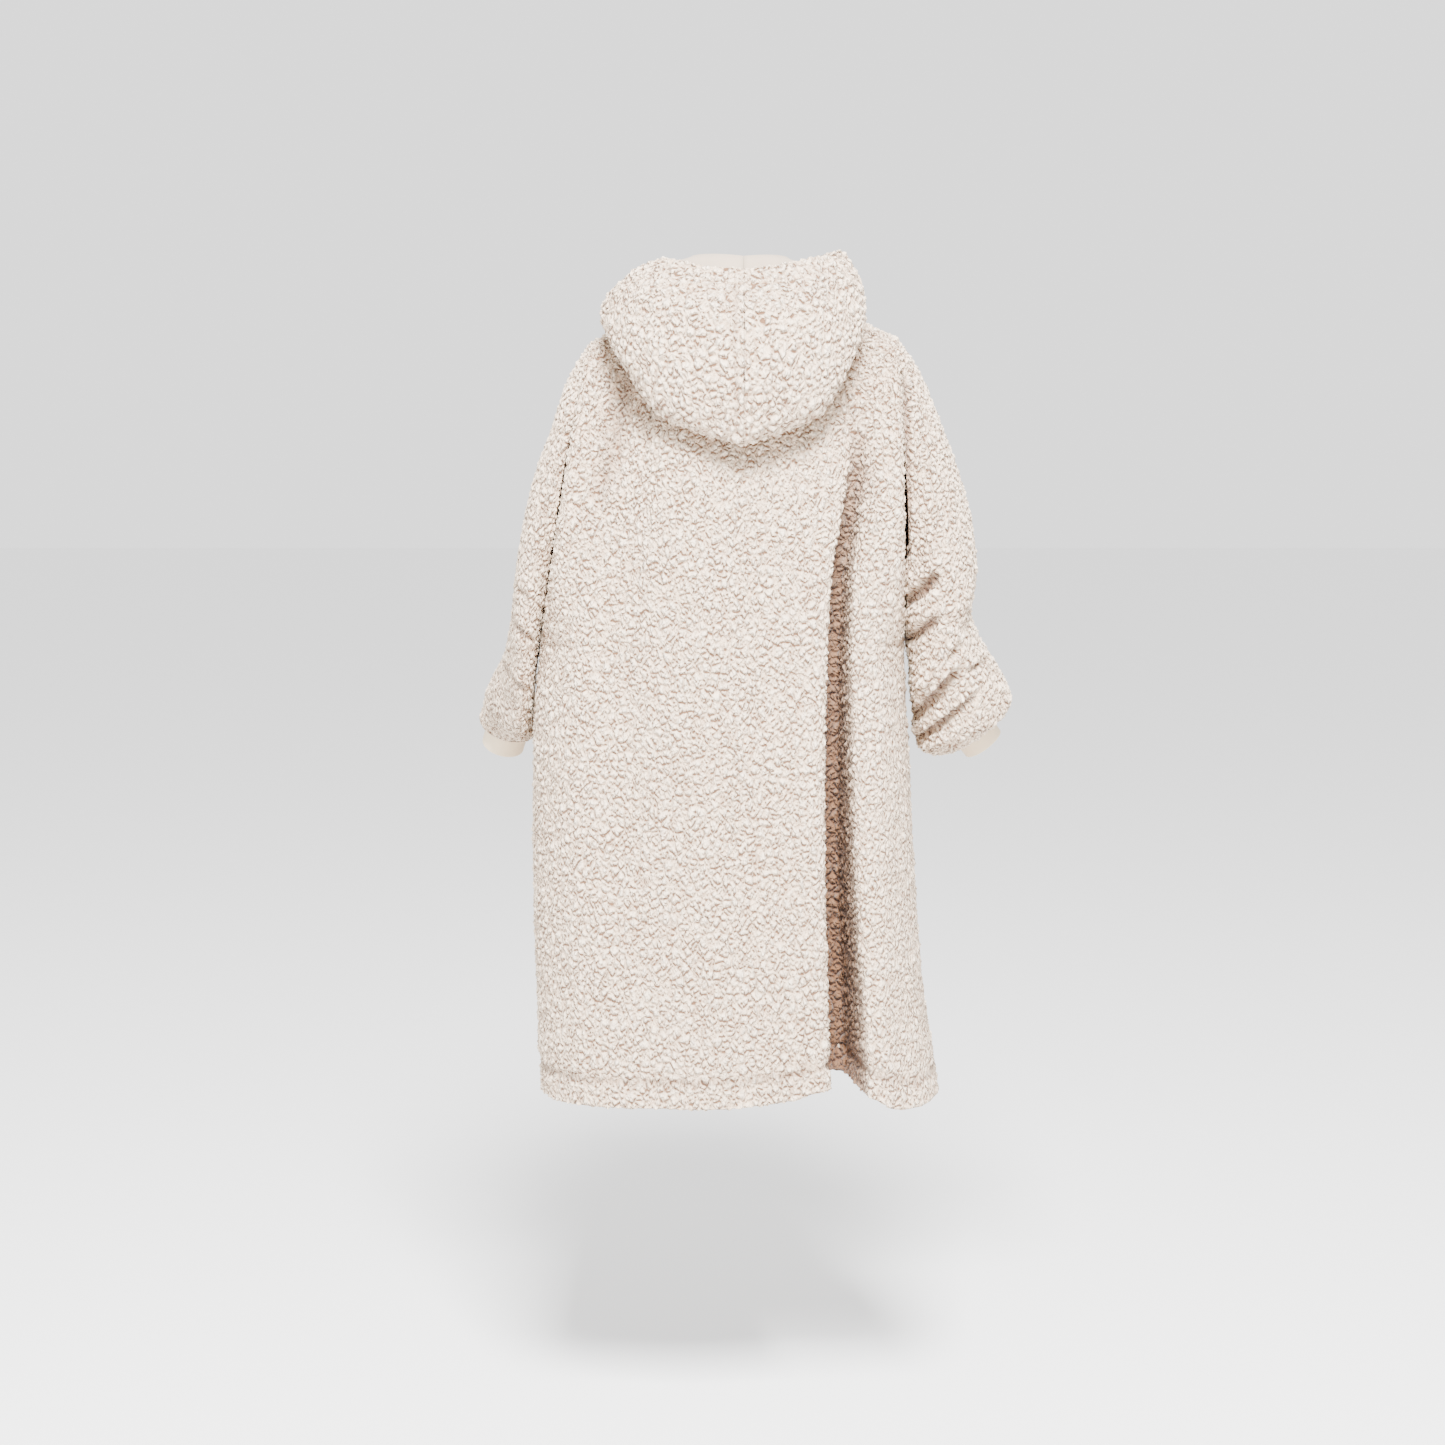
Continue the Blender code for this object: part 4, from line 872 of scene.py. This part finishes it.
def new_mesh(name, points, quads, triangles, materials, rest, shade):
    """A smooth mesh object, whose outer points keep where they lay before they were raised
    and how shaded they are."""
    mesh = bpy.data.meshes.new(name)
    mesh.vertices.add(len(points))
    mesh.vertices.foreach_set("co", points.astype(np.float32).ravel())
    corners = np.concatenate([quads.ravel(), triangles.ravel()])
    mesh.loops.add(len(corners))
    mesh.loops.foreach_set("vertex_index", corners.astype(np.int32))
    sizes = np.concatenate([np.full(len(quads), 4), np.full(len(triangles), 3)])
    mesh.polygons.add(len(sizes))
    starts = np.concatenate([[0], np.cumsum(sizes)[:-1]])
    mesh.polygons.foreach_set("loop_start", starts.astype(np.int32))
    for material in materials:
        mesh.materials.append(material)
    kept = points.copy()
    kept[:rest.shape[0] * rest.shape[1]] = rest.reshape(-1, 3)
    lain = mesh.attributes.new("rest", "FLOAT_VECTOR", "POINT")
    lain.data.foreach_set("vector", kept.astype(np.float32).ravel())
    shades = np.zeros(len(points), np.float32)
    shades[:shade.size] = shade.ravel()
    mesh.attributes.new("shade", "FLOAT", "POINT").data.foreach_set("value", shades)
    mesh.update(calc_edges=True)
    outer_quads = len(quads) - (quads.min(axis=1) >= rest.shape[0] * rest.shape[1]).sum()
    slots = np.zeros(len(sizes), np.int32)
    slots[outer_quads:len(quads)] = len(materials) - 1
    mesh.polygons.foreach_set("material_index", slots)
    mesh.validate()
    mesh.shade_smooth()
    item = bpy.data.objects.new(name, mesh)
    bpy.context.scene.collection.objects.link(item)
    return item


class Value:
    """A socket of a node tree. An expression on values adds its Math nodes."""

    def __init__(self, tree, socket=None):
        self.tree = tree
        self.socket = socket

    def node(self, kind, settings, inputs, output=0):
        """A new node, with its settings set first and then its sockets set or linked."""
        made = self.tree.nodes.new(kind)
        for key, value in settings.items():
            setattr(made, key, value)
        for key, value in inputs.items():
            if isinstance(value, Value):
                self.tree.links.new(value.socket, made.inputs[key])
            else:
                made.inputs[key].default_value = value
        return Value(self.tree, made.outputs[output])

    def math(self, operation, first, second):
        return self.node("ShaderNodeMath", {"operation": operation}, {0: first, 1: second})

    def __add__(self, other):
        return self.math("ADD", self, other)

    def __radd__(self, other):
        return self.math("ADD", other, self)

    def __sub__(self, other):
        return self.math("SUBTRACT", self, other)

    def __rsub__(self, other):
        return self.math("SUBTRACT", other, self)

    def __mul__(self, other):
        return self.math("MULTIPLY", self, other)

    def __rmul__(self, other):
        return self.math("MULTIPLY", other, self)

    def ramp(self, low, high):
        """0 below low, 1 above high, and smooth between them."""
        settings = {"interpolation_type": "SMOOTHSTEP"}
        return self.node(
            "ShaderNodeMapRange", settings, {"Value": self, "From Min": low, "From Max": high}
        )

    def noise(self, place, scale, detail, output=0):
        inputs = {"Vector": place, "Scale": scale, "Detail": detail}
        return self.node("ShaderNodeTexNoise", {}, inputs, output)

    def cells(self, place, scale):
        """How far each place is from the nearest border between cells, in cells."""
        settings = {"feature": "DISTANCE_TO_EDGE"}
        return self.node("ShaderNodeTexVoronoi", settings, {"Vector": place, "Scale": scale})

    def moved(self, place, scale, detail, most):
        """The place moved about by noise, by up to most each way."""
        turned = self.noise(place, scale, detail, output="Color")
        scaled = self.node(
            "ShaderNodeVectorMath",
            {"operation": "MULTIPLY_ADD"},
            {0: turned, 1: (2 * most,) * 3, 2: (-most,) * 3},
        )
        return self.node("ShaderNodeVectorMath", {"operation": "ADD"}, {0: place, 1: scaled})

    def mix(self, factor, first, second):
        """A colour between two colours."""
        settings = {"data_type": "RGBA"}
        inputs = {0: factor, 6: first, 7: second}
        return self.node("ShaderNodeMix", settings, inputs, output=2)


def curls(start, place, size):
    """The pile at a place: how high it stands, from 0 between curls to 1 on top of one, and
    how much painted shade the partings get, from 0 to 1. Curls of two sizes overlap, and
    many of the partings between them are broken off."""
    place = start.node(
        "ShaderNodeVectorMath", {"operation": "MULTIPLY"}, {0: place, 1: (1.0, 1.0, 0.82)}
    )
    bent = start.moved(place, 0.36 / size, 2.0, 0.85 * size)
    tight = start.moved(place, 1.4 / size, 1.0, 0.22 * size)
    broken = start.noise(place, 0.95 / size, 1.0).ramp(0.38, 0.60)
    small_broken = start.noise(bent, 1.7 / size, 1.0).ramp(0.44, 0.64)
    large, small = start.cells(bent, 1 / size), start.cells(tight, 1.7 / size)
    # The partings between the curls, many broken off, which get painted shade
    line = (1 - large.ramp(0.02, 0.17)) * (0.15 + 0.85 * broken)
    fine = (1 - small.ramp(0.01, 0.18)) * 0.65 * small_broken
    height = large.ramp(0.0, 0.42) * 0.6 + small.ramp(0.0, 0.42) * 0.4
    return height, start.math("MAXIMUM", line, fine)


def read_heights(places, size):
    """The curl heights at an array of places, worked out by the same nodes as the material."""
    tree = bpy.data.node_groups.new("curl heights", "GeometryNodeTree")
    tree.interface.new_socket("Geometry", in_out="INPUT", socket_type="NodeSocketGeometry")
    tree.interface.new_socket("Geometry", in_out="OUTPUT", socket_type="NodeSocketGeometry")
    start = Value(tree)
    given = start.node("NodeGroupInput", {}, {})
    place = start.node("GeometryNodeInputPosition", {}, {})
    stored = start.node(
        "GeometryNodeStoreNamedAttribute",
        {"data_type": "FLOAT", "domain": "POINT"},
        {"Geometry": given, "Name": "height", "Value": curls(start, place, size)[0]},
    )
    tree.links.new(stored.socket, tree.nodes.new("NodeGroupOutput").inputs[0])
    mesh = bpy.data.meshes.new("places")
    mesh.vertices.add(len(places))
    mesh.vertices.foreach_set("co", places.astype(np.float32).ravel())
    item = bpy.data.objects.new("places", mesh)
    bpy.context.scene.collection.objects.link(item)
    item.modifiers.new("heights", "NODES").node_group = tree
    found = item.evaluated_get(bpy.context.evaluated_depsgraph_get()).data
    heights = np.empty(len(places), np.float32)
    found.attributes["height"].data.foreach_get("value", heights)
    bpy.data.objects.remove(item)
    bpy.data.meshes.remove(mesh)
    bpy.data.node_groups.remove(tree)
    return heights.astype(float)


def new_material(name, roughness, sheen):
    """A material with its Principled shader, and a value to start expressions from."""
    material = bpy.data.materials.new(name)
    material.use_nodes = True
    shader = material.node_tree.nodes["Principled BSDF"]
    shader.inputs["Roughness"].default_value = roughness
    shader.inputs["Specular IOR Level"].default_value = 0.15
    shader.inputs["Sheen Weight"].default_value = sheen
    shader.inputs["Sheen Roughness"].default_value = 0.6
    return material, shader, Value(material.node_tree)


def pile_material(name, settings, size):
    """Cream curls, their tops lighter as a painted highlight and their sides darker as painted
    shade, with painted shade in the tan partings, darkest as a painted shadow just under a
    curl, and painted shade deepening the colour in hollows. The fine hairs are in the bump."""
    material, shader, start = new_material(name, 1.0, 0.15)
    place = start.node("ShaderNodeAttribute", {"attribute_name": "rest"}, {}, output="Vector")
    height, parting_shade = curls(start, place, size)
    # Painted shadow just under a curl, where the pile a little higher up stands above this place
    above = start.node(
        "ShaderNodeVectorMath", {"operation": "ADD"}, {0: place, 1: (0.0, 0.0, 0.30 * size)}
    )
    shadow_under_curl = (curls(start, above, size)[0] - height).ramp(-0.02, 0.30)
    parting_shade = start.math("MINIMUM", parting_shade * (0.45 + 0.75 * shadow_under_curl) + shadow_under_curl * 0.30, 1.0)
    shade = start.node("ShaderNodeAttribute", {"attribute_name": "shade"}, {}, output="Fac")
    hairs = start.noise(place, 1100.0, 2.0)
    # Painted highlight on the tops of the curls, painted shade on their sides
    cream_with_painted_light = start.mix(height, (*settings.low, 1), (*settings.top, 1))
    # Painted shade in the partings between the curls
    colour = start.mix(parting_shade * settings.depth, cream_with_painted_light, (*settings.parting_shade_colour, 1))
    # Painted shade in folds, creases, parting lines and the hem's stitching
    colour_with_painted_shade = start.node(
        "ShaderNodeMix",
        {"data_type": "RGBA", "blend_type": "MULTIPLY"},
        {0: shade, 6: colour, 7: (*settings.hollow_shade, 1)},
        output=2,
    )
    start.tree.links.new(colour_with_painted_shade.socket, shader.inputs["Base Color"])
    relief = height - parting_shade * 0.35 + hairs * 0.22
    bump = start.node(
        "ShaderNodeBump", {}, {"Strength": 1.0, "Distance": 0.0055, "Height": relief}
    )
    start.tree.links.new(bump.socket, shader.inputs["Normal"])
    return material


def knit_material(name, colour):
    """A smooth knitted face: the inside of the cloth, and the cuffs."""
    material, shader, start = new_material(name, 0.85, 0.2)
    place = start.node("ShaderNodeTexCoord", {}, {}, output="Object")
    loops = start.cells(place, 700.0)
    drift = start.noise(place, 25.0, 3.0)
    darker = tuple(0.86 * part for part in colour)
    shade = start.mix(drift.ramp(0.3, 0.7) * 0.5, (*colour, 1), (*darker, 1))
    start.tree.links.new(shade.socket, shader.inputs["Base Color"])
    bump = start.node(
        "ShaderNodeBump", {}, {"Strength": 0.25, "Distance": 0.0006, "Height": loops}
    )
    start.tree.links.new(bump.socket, shader.inputs["Normal"])
    return material


def material_named(name, make):
    return bpy.data.materials.get(name) or make()


def pile_and_back(settings, size):
    """The materials of a pile piece: its pile, then its plain side."""
    name = "curly pile" if size == settings.curl_size else "long curly pile"
    pile = material_named(name, lambda: pile_material(name, settings, size))
    plain = material_named(
        "plain side", lambda: knit_material("plain side", tuple(settings.plain_side))
    )
    return pile, plain


def pile_piece(name, outer, inner, parted, hollow_shade, closed, settings, size):
    """A pile piece of the garment, in place of its solid. The pile is lowered by parted, and its
    colour gets painted shade from how deep the point lies in a hollow and in a parting of the
    pile."""
    heights = read_heights(outer.reshape(-1, 3), size).reshape(outer.shape[:2])
    lift = (heights - settings.level) * settings.pile_depth
    # Painted shade, from how deep the point lies in a hollow or in a parting of the pile
    shade = 1 - np.exp(-np.clip(hollow_shade / HOLLOW_DEPTH + parted / LINE_DEPTH, 0, None))
    lowest = PILE_SHARE * PILE_WALL
    if closed:
        wall = np.linalg.norm(outer - inner, axis=-1)
        lift *= np.clip(wall / PILE_WALL, 0, 1)
        lowest = LINE_SHARE * wall
    lift = np.maximum(lift - parted, -lowest)
    materials = pile_and_back(settings, size)
    piece = cloth(name + "_pile", outer, inner, lift, shade, closed, materials)
    wear(piece, name)
    return piece


def wear(piece, node):
    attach(piece, "root")
    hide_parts(node)


class PileSettings(bpy.types.PropertyGroup):
    curl_size: FloatProperty(
        name="Curl size", description="Width of one curl of the pile", default=0.0090,
        min=0.004, max=0.03, unit="LENGTH",
    )
    hood_curl: FloatProperty(
        name="Hood curl", description="Width of one curl on the hood", default=0.0102,
        min=0.004, max=0.03, unit="LENGTH",
    )
    pile_depth: FloatProperty(
        name="Pile depth", description="From the partings to the tops of the curls",
        default=0.0050, min=0.0, max=0.012, unit="LENGTH",
    )
    level: FloatProperty(
        name="Level", description="The height of the curls that lies on the solid's face",
        default=0.60, min=0.0, max=1.0, subtype="FACTOR",
    )
    # The tops of the curls lighter, as a painted highlight; their sides darker, as painted shade
    low: FloatVectorProperty(
        name="Low", description="Colour of the sides of the curls", default=(0.85, 0.63, 0.44),
        min=0, max=1, subtype="COLOR",
    )
    top: FloatVectorProperty(
        name="Top", description="Colour of the tops of the curls", default=(0.98, 0.83, 0.66),
        min=0, max=1, subtype="COLOR",
    )
    # Painted shade in the partings between the curls, darkest as a painted shadow under a curl
    parting_shade_colour: FloatVectorProperty(
        name="Parting", description="Colour between the curls", default=(0.19, 0.095, 0.048),
        min=0, max=1, subtype="COLOR",
    )
    # How strong the painted shade in the partings is
    depth: FloatProperty(
        name="Parting depth", description="How strongly the partings show", default=1.0,
        min=0.0, max=1.0, subtype="FACTOR",
    )
    # Painted shade: the colour is multiplied towards this in folds, creases and parting lines
    hollow_shade: FloatVectorProperty(
        name="Hollow", description="What the colour is multiplied by in a deep fold",
        default=(0.22, 0.13, 0.08), min=0, max=1, subtype="COLOR",
    )
    plain_side: FloatVectorProperty(
        name="Plain side", description="Colour of the cloth's inner face",
        default=(0.45, 0.35, 0.26), min=0, max=1, subtype="COLOR",
    )


class CuffSettings(bpy.types.PropertyGroup):
    colour: FloatVectorProperty(
        name="Colour", description="Colour of the smooth cuffs", default=(0.80, 0.64, 0.44),
        min=0, max=1, subtype="COLOR",
    )


class StudioSettings(bpy.types.PropertyGroup):
    sky: FloatProperty(
        name="Sky", description="Strength of the even light from all round", default=1.85,
        min=0.0, max=5.0,
    )
    key: FloatProperty(
        name="Key light", description="Power of the light from above", default=1150.0,
        min=0.0, max=5000.0, unit="POWER",
    )
    floor_z: FloatProperty(
        name="Floor", description="Height of the floor", default=-1.45, unit="LENGTH",
    )
    distance: FloatProperty(
        name="Camera distance", description="From the camera to what it looks at",
        default=3.6, min=0.5, unit="LENGTH",
    )
    pitch: FloatProperty(
        name="Camera pitch", description="How far the camera looks down",
        default=math.radians(5.7), subtype="ANGLE",
    )
    lens: FloatProperty(
        name="Lens", description="Focal length in millimetres", default=70.06, min=10.0,
    )


class HOODIE_OT_panels(bpy.types.Operator):
    """Makes the back and front panels"""

    bl_idname = "hoodie.panels"
    bl_label = "Back and front"

    def execute(self, context):
        settings = context.scene.hoodie_pile
        for name, side, cut in (("back_panel", 1, BACK_CUT), ("front_panel", -1, FRONT_CUT)):
            outer, inner = panel(side)
            hollow_shade, stitched = (with_roll(deep) for deep in panel_hollows(side, outer))
            outer = rolled(outer, inner)
            size = settings.curl_size
            pile_piece(name, outer, inner, stitched, hollow_shade, False, settings, size)
        return {"FINISHED"}


class HOODIE_OT_sleeves(bpy.types.Operator):
    """Makes both sleeves"""

    bl_idname = "hoodie.sleeves"
    bl_label = "Sleeves"

    def execute(self, context):
        settings = context.scene.hoodie_pile
        size = settings.curl_size
        for hand, word, lines in (
            (1, "left", LEFT_SLEEVE_LINES), (-1, "right", RIGHT_SLEEVE_LINES)
        ):
            outer, inner, hollow_shade = sleeve(hand)
            facing = ring_normals(outer, hand)[..., 1]
            parted = partings(outer, facing, lines)
            parted += FRONT_SHARE * partings(outer, -facing, lines)
            name = "sleeve_" + word
            pile_piece(name, outer, inner, parted, hollow_shade, True, settings, size)
        return {"FINISHED"}


class HOODIE_OT_hood(bpy.types.Operator):
    """Makes both halves of the hood"""

    bl_idname = "hoodie.hood"
    bl_label = "Hood"

    def execute(self, context):
        settings = context.scene.hoodie_pile
        for hand, word in ((1, "left"), (-1, "right")):
            outer, inner = (np.swapaxes(face, 0, 1)[::-1] for face in hood(hand))
            outer = rolled(outer, inner)
            parted = partings(outer, np.clip(outer[..., 1] / HOOD_BACK, 0, 1), HOOD_LINES)
            size = settings.hood_curl
            name = "hood_" + word
            pile_piece(name, outer, inner, parted, 0 * parted, False, settings, size)
        return {"FINISHED"}


class HOODIE_OT_cuffs(bpy.types.Operator):
    """Makes both cuffs"""

    bl_idname = "hoodie.cuffs"
    bl_label = "Cuffs"

    def execute(self, context):
        colour = tuple(context.scene.hoodie_cuff.colour)
        material = material_named("smooth rib", lambda: knit_material("smooth rib", colour))
        for hand, word in ((1, "left"), (-1, "right")):
            outer, inner = (face[::-1] for face in cuff(hand))
            outer = rolled(outer, inner)
            flat = np.zeros(outer.shape[:2])
            piece = cloth("cuff_" + word + "_rib", outer, inner, flat, flat, True, (material,))
            wear(piece, "cuff_" + word)
        return {"FINISHED"}


class HOODIE_OT_studio(bpy.types.Operator):
    """Makes the floor, the lights and the camera"""

    bl_idname = "hoodie.studio"
    bl_label = "Studio"

    def execute(self, context):
        settings = context.scene.hoodie_studio
        white = bpy.data.worlds.new("studio")
        white.use_nodes = True
        background = white.node_tree.nodes["Background"]
        background.inputs["Color"].default_value = (1, 1, 1, 1)
        background.inputs["Strength"].default_value = settings.sky
        context.scene.world = white
        floor = add_floor(settings.floor_z)
        target = Vector((0.016, 0.0, -0.547))
        add_light("key", (-0.2, 3.1, 2.6), target, settings.key, 1.2)
        camera = bpy.data.objects.new("camera", bpy.data.cameras.new("camera"))
        camera.data.sensor_width = 36.0
        camera.data.lens = settings.lens
        back = Vector((0, math.cos(settings.pitch), math.sin(settings.pitch)))
        camera.location = target + settings.distance * back
        camera.rotation_euler = (target - camera.location).to_track_quat("-Z", "Y").to_euler()
        context.scene.collection.objects.link(camera)
        context.scene.camera = camera
        return {"FINISHED"}


def add_floor(height):
    bpy.ops.mesh.primitive_plane_add(size=60.0, location=(0, 0, height))
    floor = bpy.context.object
    floor.name = "floor"
    material, shader, _ = new_material("pale floor", 0.9, 0.0)
    shader.inputs["Base Color"].default_value = (0.93, 0.93, 0.93, 1)
    floor.data.materials.append(material)
    return floor


def add_light(name, place, target, power, size):
    lamp = bpy.data.lights.new(name, "AREA")
    lamp.energy = power
    lamp.size = size
    item = bpy.data.objects.new(name, lamp)
    item.location = place
    item.rotation_euler = (target - Vector(place)).to_track_quat("-Z", "Y").to_euler()
    bpy.context.scene.collection.objects.link(item)
    return item


OPERATORS = (
    HOODIE_OT_panels, HOODIE_OT_sleeves, HOODIE_OT_hood, HOODIE_OT_cuffs, HOODIE_OT_studio,
)


class HOODIE_PT_sidebar(bpy.types.Panel):
    bl_label = "Blanket hoodie"
    bl_idname = "HOODIE_PT_sidebar"
    bl_space_type = "VIEW_3D"
    bl_region_type = "UI"
    bl_category = "Hoodie"

    def draw(self, context):
        for group in ("hoodie_pile", "hoodie_cuff", "hoodie_studio"):
            settings = getattr(context.scene, group)
            for name in settings.__annotations__:
                self.layout.prop(settings, name)
        for operator in OPERATORS:
            self.layout.operator(operator.bl_idname)


CLASSES = (PileSettings, CuffSettings, StudioSettings, *OPERATORS, HOODIE_PT_sidebar)


def register():
    for item in CLASSES:
        bpy.utils.register_class(item)
    bpy.types.Scene.hoodie_pile = PointerProperty(type=PileSettings)
    bpy.types.Scene.hoodie_cuff = PointerProperty(type=CuffSettings)
    bpy.types.Scene.hoodie_studio = PointerProperty(type=StudioSettings)


def unregister():
    del bpy.types.Scene.hoodie_studio
    del bpy.types.Scene.hoodie_cuff
    del bpy.types.Scene.hoodie_pile
    for item in reversed(CLASSES):
        bpy.utils.unregister_class(item)


def main():
    register()
    bpy.ops.object.select_all(action="DESELECT")
    bpy.ops.hoodie.panels()
    bpy.ops.hoodie.sleeves()
    bpy.ops.hoodie.hood()
    bpy.ops.hoodie.cuffs()
    bpy.ops.hoodie.studio()


if __name__ == "__main__":
    main()
